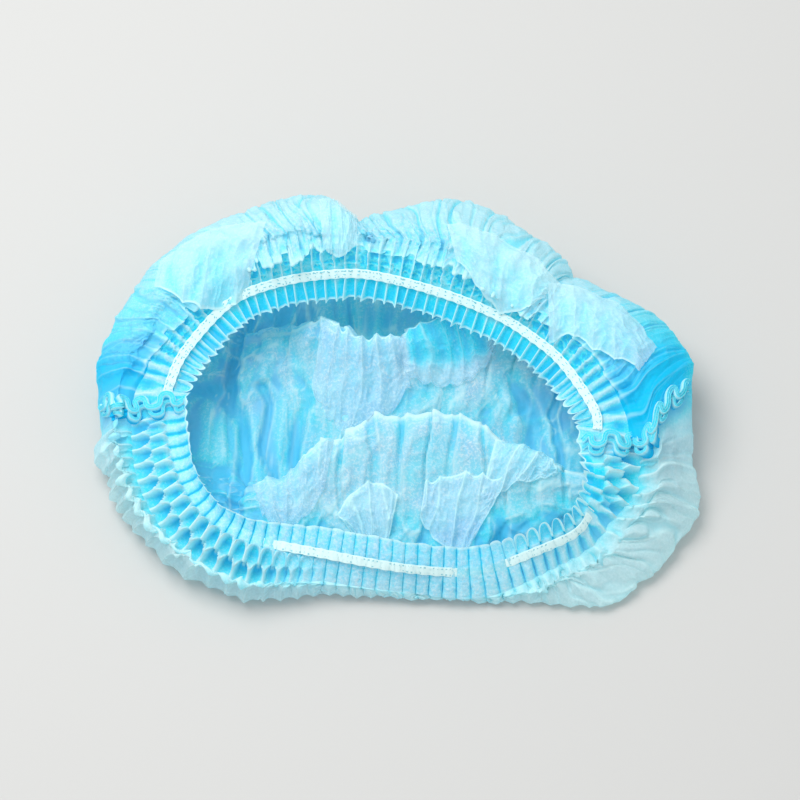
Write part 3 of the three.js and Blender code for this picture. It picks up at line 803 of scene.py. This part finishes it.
def inside_base(across, fan_turns, back_foot, front_foot):
    """The cloth inside without its relief, as lines from the back foot to the front foot.

    Also gives how far along its line each point is: 1 at the back crest, 2 at the front crest and 3
    at the front foot. The crests are scalloped, with a tip at each pleat.
    """
    f = inside_rows(across)
    tip = (2 * (fan_turns % 1) - 1) ** 2 * (0.6 + 0.4 * noise(np.round(fan_turns), 0, 46))
    scallop = 0.93 + 0.07 * tip
    back_up = f.backUp * CAP_HEIGHT * scallop
    front_up = f.frontUp * CAP_HEIGHT * scallop
    back_at = f.backAt + 0.008 * tip
    front_at = f.frontAt + 0.012 * (tip - 0.5)
    back_tuck = back_at + mix(*TUCK, smooth(f.backUp, 0.02, 0.12))
    front_tuck = front_at + mix(*TUCK, smooth(f.frontUp, 0.02, 0.12))
    stretches = [
        [(1, 0), (0.95, 0), *slope_knots(BACK_TUCK, back_at, back_tuck, back_up)],
        [
            *slope_knots(BACK_SLOPE, back_at, f.backEnd, back_up),
            *slope_knots(FRONT_TUCK, front_at, front_tuck, front_up),
        ],
        [*slope_knots(FRONT_SLOPE, front_at, f.frontEnd, front_up), (0.05, 0), (0, 0)],
    ]
    parts, times = [], []
    for number, (knots, rows) in enumerate(zip(stretches, INSIDE_ROWS)):
        points = []
        for at, up in knots:
            at, up = (np.broadcast_to(value, across.shape)[:, None] for value in (at, up))
            points.append(mix(front_foot, back_foot, at) + UP * up)
        part = open_curve(np.stack(points), rows)
        last = len(part) - 1
        parts.append(part[:last])
        times.append(number + np.arange(last) / last)
    times.append([len(stretches)])
    return np.concatenate([*parts, part[last:]]), np.concatenate(times)[:, None]


def inside_grid(back_foot, front_foot):
    """Points of the cloth inside, as lines from the back foot to the front foot, and their colours."""
    across = np.linspace(0, 1, len(back_foot))
    fan_turns = FAN_PLEATS * across + 0.3 * noise(across * 9, 0, 41)
    base, t = inside_base(across, fan_turns, back_foot, front_foot)
    x, y = base[..., 0], base[..., 1]
    on_flap = smooth(base[..., 2], 5, 14)

    # On the floor wide soft ridges run from the back to the front with sideways jogs between valleys,
    # which are darkened by painted shade further down. On the standing folds flat pleats fan out to the
    # scalloped crests.
    bands = FLOOR_RIDGES * across + 0.45 * noise(across * 8, t * 2.5, 43)
    u = (bands + 0.26 * noise(np.floor(bands) * 3.7, t * 8, 42)) % 1
    from_valley = np.abs(u - 0.5) - (0.13 + 0.09 * noise(np.floor(bands) * 5.3, t * 2, 52))
    valley = 1 - smooth(from_valley, -0.1, 0.1)
    ridge = 0.5 + 0.5 * np.cos(2 * math.pi * (u - 0.04)) ** 2 - 1.1 * valley
    fan = fan_turns + 0.25 * noise(across * 20, t * 3, 45) * smooth(np.abs(t - np.round(t)), 0, 0.3)
    panel, strip, fold_highlight = facets(fan, 47, 0.16)
    from_crest = np.minimum(np.abs(t - 1), np.abs(t - 2))
    strip = strip * (1 - 0.75 * smooth(from_crest, 0.05, 0.4))
    wrinkle = creases(across * 30 + 0.6 * noise(across * 20, t * 6, 50), t * 5, 44)
    thin = creases(across * 62 + 1.2 * noise(across * 16, t * 9, 53), t * 5, 54)
    low, shaded, rim = valleys(x, y)
    floor_move = 3.2 * (1 - low) + 1.3 * ridge + (wrinkle - 0.4) * 2.2 + (thin - 0.4) * 1.5
    fold_move = 2.6 * panel - 1.3 * strip + (wrinkle - 0.4) * 1.4
    side = window(across, 0, 0.08, 0.92, 1)
    tight = 1 - window(across, 0.04, 0.18, 0.82, 0.96)
    crest = sum(np.exp(-((t - k) ** 2) / 0.004) for k in (1, 2))
    move = mix(floor_move, fold_move, on_flap) * side * window(t, 0.02, 0.3, 2.75, 2.95)
    move = move * (1 - 0.6 * crest * on_flap) * (1 - 0.7 * tight)
    face = normals(base)
    face = mix(face * np.sign(face[..., 2:] + 1e-6), UP, tight[:, None])
    grid = base + move[..., None] * face
    grid[..., 2] = np.maximum(grid[..., 2], REST)

    # At both ends it is drawn in, to stay inside the puff's foot.
    inward = DRAWN_IN * tight * window(t, 0.01, 0.15, 2.88, 2.99)
    inward = inward * smooth(0.5 - np.abs(across - 0.5), 0, 0.012)
    grid[..., 0] = grid[..., 0] - np.sign(x) * inward

    # Colour values: deep is painted shade in the valleys, in the wrinkles' troughs, in the strips between
    # the fan's pleats and under the mouth's rim, strongest at the front; line is painted highlight on the
    # fold crests, fold lines, wrinkle ridges and the valleys' rims. Grey adds lilac clouds, fewer in the
    # painted shade, and under the puff the cloth is clear and loses both.
    dark = 0.35 * (1 - smooth(from_valley, -0.03, 0.1))
    dark = np.maximum(shaded, dark) * (0.8 + 0.2 * noise(across * 12, t * 3, 48))
    from_middle = np.linalg.norm((base[..., :2] - MOUTH_MIDDLE) / MOUTH_HALF, axis=-1)
    rim_shade = smooth(from_middle, 0.55, 0.95) * mix(1.6, 1, smooth(y, -50, -10))
    folds = 0.4 * smooth(1 - wrinkle, 0.5, 0.85)
    on_floor = 0.25 + 0.6 * dark + folds + 0.3 * smooth(1 - thin, 0.55, 0.8)
    on_floor = on_floor + 0.34 * rim_shade * mix(0.5, 1, smooth(t, 0.1, 0.5))
    deep = mix(on_floor, 0.15 + 0.42 * strip + 0.6 * folds, on_flap)
    crest_highlight = np.exp(-((t - 1) ** 2) / 0.0006) + np.exp(-((t - 2) ** 2) / 0.0009)
    rims = bell(from_valley - 0.1, 0.035) * smooth(noise(across * 15, t * 5, 51), -0.4, 0.4)
    line = (crest_highlight + 0.5 * fold_highlight) * on_flap + 0.6 * smooth(wrinkle, 0.78, 0.95)
    line = line + (0.2 * rims + 0.4 * rim + 0.5 * smooth(thin, 0.8, 0.95)) * (1 - on_flap)
    outside = smooth(from_middle, 1.0, 1.1) * (1 - smooth(y, -10, 15))
    under_puff = np.clip(np.maximum(smooth(t, 2.85, 2.97) + 1 - side, outside), 0, 1)
    grey = 0.95 * (1 - 0.55 * dark) * (0.65 + 0.35 * noise(across * 30, t * 10, 49))
    grey = grey * (1 - 0.5 * np.clip(rim_shade, 0, 1) * (1 - smooth(y, -30, 10)))
    clear = 0.08 + 0.85 * under_puff
    deep = deep * (1 - 0.9 * under_puff)
    return grid, {"deep": deep, "line": line * (1 - 0.7 * under_puff), "clear": clear, "grey": grey}


def height_map(*grids):
    """The height of some sheets' top above the table, as a function of plan points in millimetres."""
    points = np.concatenate([grid.reshape(-1, 3) for grid in grids])
    cells = np.round(points[:, :2] / MAP_CELL).astype(int) + MAP_SIZE // 2
    heights = np.zeros((MAP_SIZE, MAP_SIZE))
    np.maximum.at(heights, (cells[:, 0], cells[:, 1]), points[:, 2])
    for _ in range(2):
        padded = np.pad(heights, 1, mode="edge")
        heights = sum(
            padded[1 + i : 1 + i + MAP_SIZE, 1 + j : 1 + j + MAP_SIZE]
            for i in (-1, 0, 1)
            for j in (-1, 0, 1)
        ) / 9

    def height(x, y):
        i, j = x / MAP_CELL + MAP_SIZE // 2, y / MAP_CELL + MAP_SIZE // 2
        a, b = np.floor(i).astype(int), np.floor(j).astype(int)
        u, v = i - a, j - b
        near = mix(heights[a, b], heights[a + 1, b], u)
        far = mix(heights[a, b + 1], heights[a + 1, b + 1], u)
        return mix(near, far, v)

    return height


def fold_grid(upper, lower, style, height, seed):
    """A fold of cloth lying on the cloth below it, from its upper to its lower edge."""
    a = np.linspace(0, 1, FOLD_COLUMNS)
    b = np.linspace(0, 1, FOLD_ROWS)[:, None]
    top, low = open_line(upper, a), open_line(lower, a)
    turns = a * style.pleats + 0.35 * noise(a * 5, b * 2, seed + 1)
    arch = np.abs(np.sin(math.pi * turns))
    ridge = (1 - arch**0.8) * (0.75 + 0.4 * noise(np.round(turns), 0, seed))
    tip = (2 * (turns[0] % 1) - 1) ** 2 * style.tips
    hang = np.sin(math.pi * (turns[-1] % 1)) * style.tips
    away = unit(top - low)
    plan = mix(top + away * tip[:, None], low - away * hang[:, None], b[..., None])
    wrinkle = creases(a * 9, b * 5, seed + 2)
    bow = 1 - (2 * a - 1) ** 6
    lift = FOLD_CLEARANCE + style.lift * bow * (1 - smooth(b, 0.0, 0.9)) + 1.9 * ridge
    z = height(plan[..., 0], plan[..., 1]) + lift + 1.6 * (wrinkle - 0.3)

    # The rims along the edges, the ribs on the pleats' crests and the wrinkle ridges get a painted
    # highlight; deep darkens the whole fold and valleys adds painted shade between its pleats, and all of
    # it fades where the lower edge fades into the cloth.
    length = np.linalg.norm(top - low, axis=-1)
    width = np.linalg.norm(np.diff(top, axis=0), axis=-1).sum()
    to_side = np.minimum(a, 1 - a) * width
    rim, low_rim, sides = (1 - smooth(far, 0.4, 1.0) for far in (b * length, (1 - b) * length, to_side))
    rib = bell(np.minimum(turns % 1, 1 - turns % 1), 0.07)
    line = rim + np.maximum(np.maximum(sides, low_rim), 0.8 * rib) * style.outline
    line = line + 0.45 * smooth(ridge, 0.55, 0.9) * (1 - b) + 0.5 * smooth(wrinkle, 0.84, 1)
    fade = (1 - style.outline) * np.maximum(smooth(b, 0.5, 1), 1 - smooth(to_side, 0, 5))
    deep = (style.deep + style.valleys * arch**3 * (1 - 0.5 * b)) * (1 - fade)
    return np.concatenate([plan, z[..., None]], axis=-1), {
        "deep": deep,
        "line": line * (1 - fade),
        "clear": mix(style.clear, 1, fade),
        "grey": mix(style.grey, style.ground, fade),
    }


def object_of(mesh, material):
    """Links a finished mesh to the scene as an object of the same name, with smooth shading."""
    mesh.polygons.foreach_set("use_smooth", np.ones(len(mesh.polygons), bool))
    mesh.materials.append(material)
    piece = bpy.data.objects.new(mesh.name, mesh)
    bpy.context.scene.collection.objects.link(piece)
    return piece


def sheet_object(name, grid, values, material):
    """A mesh object from a grid of points in millimetres, with a value for each named attribute."""
    rows, columns = grid.shape[:2]
    k = np.arange(rows * columns).reshape(rows, columns)
    quads = np.stack([k[:-1, :-1], k[:-1, 1:], k[1:, 1:], k[1:, :-1]], axis=-1).reshape(-1, 4)
    mesh = bpy.data.meshes.new(name)
    mesh.vertices.add(rows * columns)
    mesh.vertices.foreach_set("co", ((grid + CENTRE_SHIFT) * MM).astype(np.float32).ravel())
    mesh.loops.add(quads.size)
    mesh.loops.foreach_set("vertex_index", quads.ravel().astype(np.int32))
    mesh.polygons.add(len(quads))
    mesh.polygons.foreach_set("loop_start", np.arange(0, quads.size, 4, dtype=np.int32))
    mesh.update(calc_edges=True)
    for key, value in values.items():
        layer = mesh.attributes.new(key, "FLOAT", "POINT")
        full = np.clip(np.broadcast_to(value, (rows, columns)), 0, 1)
        layer.data.foreach_set("value", full.astype(np.float32).ravel())
    return object_of(mesh, material)


def elastic_line(places):
    """The hem's middle line at these places, outwards and upwards there, and the band's height."""
    s = sections(places)
    ahead, face = hem_directions(s, np.radians(s.tilt))
    return s.middle, ahead, face, mix(BAND_LIFT, BAND_SUNK, s.sunk)


def band_object(name, first, last, material):
    """One elastic band: a flat ribbed strip with rounded edges, lying on the pleats' crests."""
    pleats = PLEATS_BACK if first < 0.5 else PLEATS_FRONT
    places = np.linspace(first, last, pleats * BAND_SAMPLES + 1)
    line, ahead, face, lift = elastic_line(places)
    rib = np.cos(2 * math.pi * places * 2 * pleats)
    lift = lift + 0.14 * rib
    half_width = ELASTIC_WIDTH / 2 - 0.12 + 0.12 * rib
    turn = 2 * math.pi * (np.arange(BAND_SIDES + 1) % BAND_SIDES) / BAND_SIDES
    side = (np.sign(np.cos(turn)) * np.abs(np.cos(turn)) ** 0.35)[:, None]
    up = (np.sign(np.sin(turn)) * np.abs(np.sin(turn)) ** 0.6)[:, None]
    move = (half_width * side)[..., None] * ahead
    grid = line + move + (lift + BAND_THICKNESS / 2 * up)[..., None] * face

    # Both ends are closed round their middle.
    middle = grid[:-1].mean(axis=0)
    ends = [np.repeat(middle[None, [k]], len(grid), axis=0) for k in (0, -1)]
    grid = np.concatenate([ends[0], grid, ends[1]], axis=1)
    run = np.pad(places, 1, mode="edge") * 2 * pleats / BAND_RUN
    return sheet_object(name, grid, {"across": side / 2 + 0.5, "run": run}, material)


def add_rod(verts, faces, line, ups, sides):
    """Adds a thin closed rod of thread along a line."""
    base = len(verts)
    for point, up, side in zip(line, ups, sides):
        for a in range(THREAD_SIDES):
            turn = 2 * math.pi * a / THREAD_SIDES
            verts.append(point + THREAD / 2 * (math.cos(turn) * side + math.sin(turn) * up))
    for low in range(base, len(verts) - THREAD_SIDES, THREAD_SIDES):
        high = low + THREAD_SIDES
        for a in range(THREAD_SIDES):
            b = (a + 1) % THREAD_SIDES
            faces.append((low + a, low + b, high + b, high + a))
    faces.append(tuple(range(base + THREAD_SIDES - 1, base - 1, -1)))
    faces.append(tuple(range(len(verts) - THREAD_SIDES, len(verts))))


def stitches_object(name, first, last, material):
    """Two rows of stitches on a band, small bent rods, which lie along it behind and across it before."""
    pleats, band, crosswise = (PLEATS_BACK, "back", 0) if first < 0.5 else (PLEATS_FRONT, "front", 1)
    count = int(pleats * STITCHES_PER_PLEAT[band])
    rng = np.random.default_rng(STITCH_SEED[band])
    from_middle = np.array([-1, -0.6, 0, 0.6, 1])
    bow = np.array([0, 0.8, 1, 0.8, 0])[:, None] * STITCH_BOW
    verts, faces = [], []
    for w in STITCH_ROWS[band]:
        middle = np.linspace(first, last, count) + rng.uniform(-0.12, 0.12, count) / pleats / 3
        length = rng.uniform(0.25, 0.9, count) * STITCH_LENGTH
        for k in range(count):
            step = length[k] / RIM_LENGTH / 2 * (1 - crosswise)
            line, ahead, face, lift = elastic_line(middle[k] + step * from_middle)
            slant = rng.uniform(-0.25, 0.25) + crosswise * length[k] / 2
            out = w + slant * from_middle[:, None]
            line = line + out * ahead + (lift[:, None] + BAND_THICKNESS / 2 + bow) * face
            add_rod(verts, faces, line, face, ahead)
    mesh = bpy.data.meshes.new(name)
    mesh.from_pydata([tuple((v + CENTRE_SHIFT) * MM) for v in verts], [], faces)
    return object_of(mesh, material)


def seam_path(cloth_rows, column, drift):
    """The middle of a weld as it runs out over the cloth in even steps, and the distance run."""
    share = np.linspace(0, 1, len(cloth_rows))
    columns = (column + np.round(drift * share**1.5)).astype(int) % (cloth_rows.shape[1] - 1)
    path = cloth_rows[np.arange(len(cloth_rows)), columns]
    steps = np.linalg.norm(np.diff(path, axis=0), axis=1)
    run = np.concatenate([[0], np.cumsum(steps)])
    at = np.linspace(0, run[-1], SEAM_SAMPLES)
    path = np.stack([np.interp(at, run, path[:, a]) for a in range(3)], axis=1)
    kernel = np.ones(2 * SEAM_EVENED + 1) / (2 * SEAM_EVENED + 1)
    padded = np.pad(path, ((SEAM_EVENED, SEAM_EVENED), (0, 0)), mode="edge")
    return np.stack([np.convolve(padded[:, a], kernel, "valid") for a in range(3)], axis=1), at


def seam_object(name, path, at, along, ridge, material):
    """One ridge of a welded end: it winds along the weld, bold, with edges painted bright as a highlight.
    """
    offset, height, width, phase = ridge

    # The ridge winds from side to side along the weld, and its bends lean over their necks.
    forward = unit(np.gradient(path, axis=0))
    along = np.broadcast_to(along, path.shape)
    up = unit(np.cross(forward, along))
    up = up * np.sign(up[:, 2:])
    taper = smooth(at, 0, 5) * (1 - 0.5 * smooth(at, at[-1] - 10, at[-1]))
    turn = 2 * math.pi * at / SEAM_WAVE + 0.5 * noise(at / 9, 2, 61) + phase
    swing = SEAM_SWING * taper * (1 + 0.2 * noise(at / 7, 3, 62))
    loop = -0.07 * SEAM_WAVE * np.sin(2 * turn) * taper
    middle = path + (swing * np.sin(turn) + offset)[:, None] * along
    middle = middle + loop[:, None] * forward + (height * (0.5 + 0.5 * taper))[:, None] * up
    across = unit(np.cross(up, unit(np.gradient(middle, axis=0))))

    # Across it lies a flat top with rounded edges between two steep walls.
    u = np.linspace(-1, 1, SEAM_ROWS)[:, None]
    in_wall = np.maximum(0, np.abs(u) - SEAM_TOP)
    on_top = np.minimum(1, np.abs(u) * 1.6)
    down = 0.35 * np.cos(3 * math.pi * on_top) - SEAM_WALL * in_wall / (1 - SEAM_TOP)
    rows = middle + (np.sign(u) * on_top * width)[..., None] * across + down[..., None] * up
    # The top's edges and its middle get a painted highlight, the whole ridge a deeper tone, and the steep
    # walls painted shade.
    bright = bell(np.abs(u) - 0.6, 0.1) + 0.25 * bell(u, 0.1)
    dark = 0.5 + 0.5 * np.minimum(1, in_wall / 0.15)
    return sheet_object(name, rows, {"deep": dark, "line": bright, "clear": 0, "grey": 0}, material)


def fold_objects(table, height, seed, material):
    """Each fold of a table, lying on the cloth that has this height."""
    made = []
    for number, (name, (upper, lower, style)) in enumerate(table.items()):
        style = SimpleNamespace(**dict(zip(FOLD_STYLE, style)))
        points, values = fold_grid(upper, lower, style, height, seed + 3 * number)
        made.append(sheet_object(name, points, values, material))
    return made


def finish_piece(piece, slot, *nodes):
    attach(piece, "root")
    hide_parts(*nodes)


def area_of(piece):
    return sum(p.area for p in piece.data.polygons)


def put(socket, value):
    """Links a shader socket to another node's output, or gives it a value."""
    if isinstance(value, bpy.types.NodeSocket):
        socket.id_data.links.new(value, socket)
    else:
        socket.default_value = value


def set_inputs(made, **sockets):
    """Sets a node's inputs by name, with _ for a space."""
    for name, value in sockets.items():
        put(made.inputs[name.replace("_", " ")], value)
    return made


def node(tree, kind, **sockets):
    return set_inputs(tree.nodes.new(kind), **sockets)


def math_node(tree, operation, *values):
    made = tree.nodes.new("ShaderNodeMath")
    made.operation = operation
    for socket, value in zip(made.inputs, values):
        put(socket, value)
    return made.outputs[0]


def times(tree, product, *factors):
    for factor in factors:
        product = math_node(tree, "MULTIPLY", product, factor)
    return product


def rest_of(tree, share):
    """What a share leaves of 1."""
    return math_node(tree, "SUBTRACT", 1.0, share)


def colour_mix(tree, factor, low, high):
    made = node(tree, "ShaderNodeMix", Factor=factor)
    made.data_type = "RGBA"
    put(made.inputs[6], low)
    put(made.inputs[7], high)
    return made.outputs[2]


def shader_mix(tree, factor, low, high):
    made = node(tree, "ShaderNodeMixShader", Fac=factor)
    put(made.inputs[1], low)
    put(made.inputs[2], high)
    return made.outputs[0]


def attribute(tree, name):
    made = tree.nodes.new("ShaderNodeAttribute")
    made.attribute_name = name
    return made.outputs["Fac"]


def texture(tree, kind="FBM", **sockets):
    """A noise texture that stays with the object."""
    place = tree.nodes.new("ShaderNodeTexCoord").outputs["Object"]
    made = node(tree, "ShaderNodeTexNoise", Vector=place, **sockets)
    made.noise_type = kind
    return made.outputs["Fac"]


def bump(tree, **sockets):
    return node(tree, "ShaderNodeBump", **sockets).outputs["Normal"]


def new_material(name):
    material = bpy.data.materials.new(name)
    material.use_nodes = True
    return material, material.node_tree


def cloth_colour(tree, fibres):
    """The cloth's colour from the values at its points, with painted shade from deep, painted highlights
    from line, and bright specks between the fibres.
    """
    deep = attribute(tree, "deep")
    ramp = node(tree, "ShaderNodeValToRGB", Fac=deep)
    ramp.color_ramp.elements[0].color = PALE
    ramp.color_ramp.elements[1].color = DARK
    ramp.color_ramp.elements.new(0.6).color = DEEP
    colour = colour_mix(tree, times(tree, attribute(tree, "clear"), 0.9), ramp.outputs["Color"], FAINT)
    clouds = texture(tree, Scale=120.0, Detail=3.0, Roughness=0.6)
    grey = times(tree, attribute(tree, "grey"), clouds)
    colour = colour_mix(tree, times(tree, grey, 1.2), colour, LILAC)
    spots = node(tree, "ShaderNodeMapRange", Value=fibres, From_Min=0.48, From_Max=0.62)
    speckle = math_node(tree, "ADD", times(tree, grey, 1.3), 0.35)
    speckle = times(tree, rest_of(tree, deep), speckle, spots.outputs["Result"])
    colour = colour_mix(tree, speckle, colour, SPECK)
    return colour_mix(tree, attribute(tree, "line"), colour, BRIGHT)


def cloth_clearness(tree, fibres):
    """How far the table shows through: less at fibres, bright lines and deep valleys."""
    clear = math_node(tree, "ADD", times(tree, attribute(tree, "clear"), 0.42), 0.12)
    weave = math_node(tree, "SUBTRACT", times(tree, fibres, 0.25), 0.12)
    clear = math_node(tree, "SUBTRACT", clear, weave)
    for name, share in (("line", 0.6), ("deep", 0.8)):
        clear = times(tree, clear, rest_of(tree, times(tree, attribute(tree, name), share)))
    return clear


def cloth_material():
    """Thin non-woven cloth: fibres, small bond marks and creases, lit through and half clear."""
    material, tree = new_material("nonwoven_cloth")
    tree.nodes.clear()
    fibres = texture(tree, Scale=900.0, Detail=4.0, Roughness=0.7)
    dents = texture(tree, "RIDGED_MULTIFRACTAL", Scale=190.0, Detail=3.0, Distortion=0.6)
    dented = bump(tree, Height=dents, Strength=0.4, Distance=0.0012)
    normal = bump(tree, Height=fibres, Normal=dented, Strength=0.35, Distance=0.0004)
    colour = cloth_colour(tree, fibres)
    surface = node(
        tree,
        "ShaderNodeBsdfPrincipled",
        Base_Color=colour,
        Normal=normal,
        Roughness=0.6,
        Specular_IOR_Level=0.25,
        Sheen_Weight=0.35,
        Sheen_Roughness=0.35,
        Sheen_Tint=SHEEN,
    )
    through = node(tree, "ShaderNodeBsdfTranslucent", Color=colour, Normal=normal)
    lit = shader_mix(tree, 0.4, surface.outputs[0], through.outputs[0])
    see = node(tree, "ShaderNodeBsdfTransparent", Color=SEEN_THROUGH)
    mixed = shader_mix(tree, cloth_clearness(tree, fibres), lit, see.outputs[0])
    node(tree, "ShaderNodeOutputMaterial", Surface=mixed)
    return material


def elastic_material():
    """White elastic of fine lengthwise cords, with blue cloth showing between the stitches."""
    material, tree = new_material("white_elastic")
    across, run = attribute(tree, "across"), attribute(tree, "run")
    from_middle = math_node(tree, "ABSOLUTE", math_node(tree, "SUBTRACT", across, 0.5))
    near_edge = math_node(tree, "COMPARE", from_middle, 0.3, 0.09)
    steps = math_node(tree, "SINE", times(tree, run, 2 * math.pi * BAND_RUN * 3))
    spots = math_node(tree, "GREATER_THAN", texture(tree, Scale=420.0, Detail=2.0), 0.55)
    gap = times(tree, math_node(tree, "GREATER_THAN", steps, 0.1), near_edge, spots, 0.6)
    cords = math_node(tree, "SINE", times(tree, across, 56.0))
    set_inputs(
        tree.nodes["Principled BSDF"],
        Base_Color=colour_mix(tree, gap, BAND_WHITE, BAND_GAP),
        Normal=bump(tree, Height=cords, Strength=0.6, Distance=0.0002),
        Roughness=0.55,
    )
    return material


def thread_material():
    """Twisted blue thread."""
    material, tree = new_material("blue_thread")
    twist = texture(tree, Scale=2500.0, Detail=2.0)
    normal = bump(tree, Height=twist, Strength=0.5, Distance=0.0001)
    set_inputs(tree.nodes["Principled BSDF"], Base_Color=THREAD_BLUE, Normal=normal, Roughness=0.5)
    return material


def table_material():
    material, tree = new_material("table_cloth")
    set_inputs(tree.nodes["Principled BSDF"], Base_Color=TABLE_GREY, Roughness=0.8)
    return material


# The sheet of cloth: the hem, the puff that goes on from it, and the cloth inside that goes on from
# the puff's foot.
cloth = cloth_material()
places, phases = hem_columns()
ring = sections(places)
hem_points, hem_values = hem_grid(ring, phases)
hem = sheet_object("hem", hem_points, hem_values, cloth)

puff_points, puff_values = puff_grid(ring, phases, hem_points[-1])
split = PLEATS_BACK * SAMPLES
halves = {"puff_back": slice(0, split + 1), "puff_front": slice(split, None)}
puffs = {
    name: sheet_object(name, puff_points[:, half], {k: v[:, half] for k, v in puff_values.items()}, cloth)
    for name, half in halves.items()
}

lines = np.linspace(0, 0.5, INSIDE_LINES + 1)
foot = puff_points[-1]
ring_places = np.concatenate([places[:-1], [1.0]])
back_foot, front_foot = (
    np.stack([np.interp(at, ring_places, foot[:, a]) for a in range(3)], axis=1)
    for at in (lines, 1 - lines)
)
inside_points, inside_values = inside_grid(back_foot, front_foot)
inside = sheet_object("cloth_inside", inside_points, inside_values, cloth)

# The ridges of the welds, and the folds and layers that lie on the sheet.
cloth_rows = np.concatenate([hem_points[SEAM_FIRST_ROW:], puff_points[1:SEAM_LAST_ROW]])
seams = []
for name, (column, drift, front) in SEAMS.items():
    path, at = seam_path(cloth_rows, column, drift)
    for side, (offset, *ridge) in SEAM_RIDGES.items():
        ridge = (front * offset, *ridge)
        seams.append(seam_object(f"{name}_{side}", path, at, ring.along[column], ridge, cloth))

folds = fold_objects(FOLDS, height_map(inside_points), FOLD_SEED, cloth)
layers = fold_objects(LAYERS, height_map(hem_points, puff_points), LAYER_SEED, cloth)
for piece in (hem, *puffs.values(), inside, *seams, *folds, *layers):
    finish_piece(piece, "crown", "crown")
    print(piece.name, len(piece.data.polygons) * 2, "triangles", round(area_of(piece), 4), "m2")

# The elastic bands with their stitches.
elastic = elastic_material()
thread = thread_material()
for name, first, last in (
    ("elastic_back", 1 / PLEATS_BACK / 2, 0.5 - 1 / PLEATS_BACK / 2),
    ("elastic_front", 0.5 + 1 / PLEATS_FRONT / 2, 1 - 1 / PLEATS_FRONT / 2),
):
    finish_piece(band_object(name + "_band", first, last, elastic), name, name)
    finish_piece(stitches_object(name + "_stitches", first, last, thread), name, name)

# Floor, light and camera.
bpy.ops.mesh.primitive_plane_add(size=FLOOR_SIZE, location=(0, 0, 0))
floor = bpy.context.object
floor.name = "table"
floor.data.materials.append(table_material())

world = bpy.data.worlds.new("studio")
world.use_nodes = True
set_inputs(world.node_tree.nodes["Background"], Color=SKY, Strength=SKY_STRENGTH)
bpy.context.scene.world = world
key = bpy.data.objects.new("key", bpy.data.lights.new("key", "AREA"))
key.data.size = KEY_SIZE
key.data.energy = KEY_ENERGY
key.location = KEY_PLACE
key.rotation_euler = (-key.location).to_track_quat("-Z", "Y").to_euler()
bpy.context.scene.collection.objects.link(key)

camera = bpy.data.objects.new("camera", bpy.data.cameras.new("camera"))
tilt = math.radians(CAMERA_ELEVATION)
direction = Vector((0, -math.cos(tilt), math.sin(tilt)))
camera.location = TARGET + direction * CAMERA_DISTANCE
camera.rotation_euler = direction.to_track_quat("Z", "Y").to_euler()
camera.data.lens = camera.data.sensor_width * CAMERA_DISTANCE / FRAME_WIDTH
camera.data.clip_end = 50
bpy.context.scene.collection.objects.link(camera)
bpy.context.scene.camera = camera
bpy.context.scene.view_settings.view_transform = "Standard"
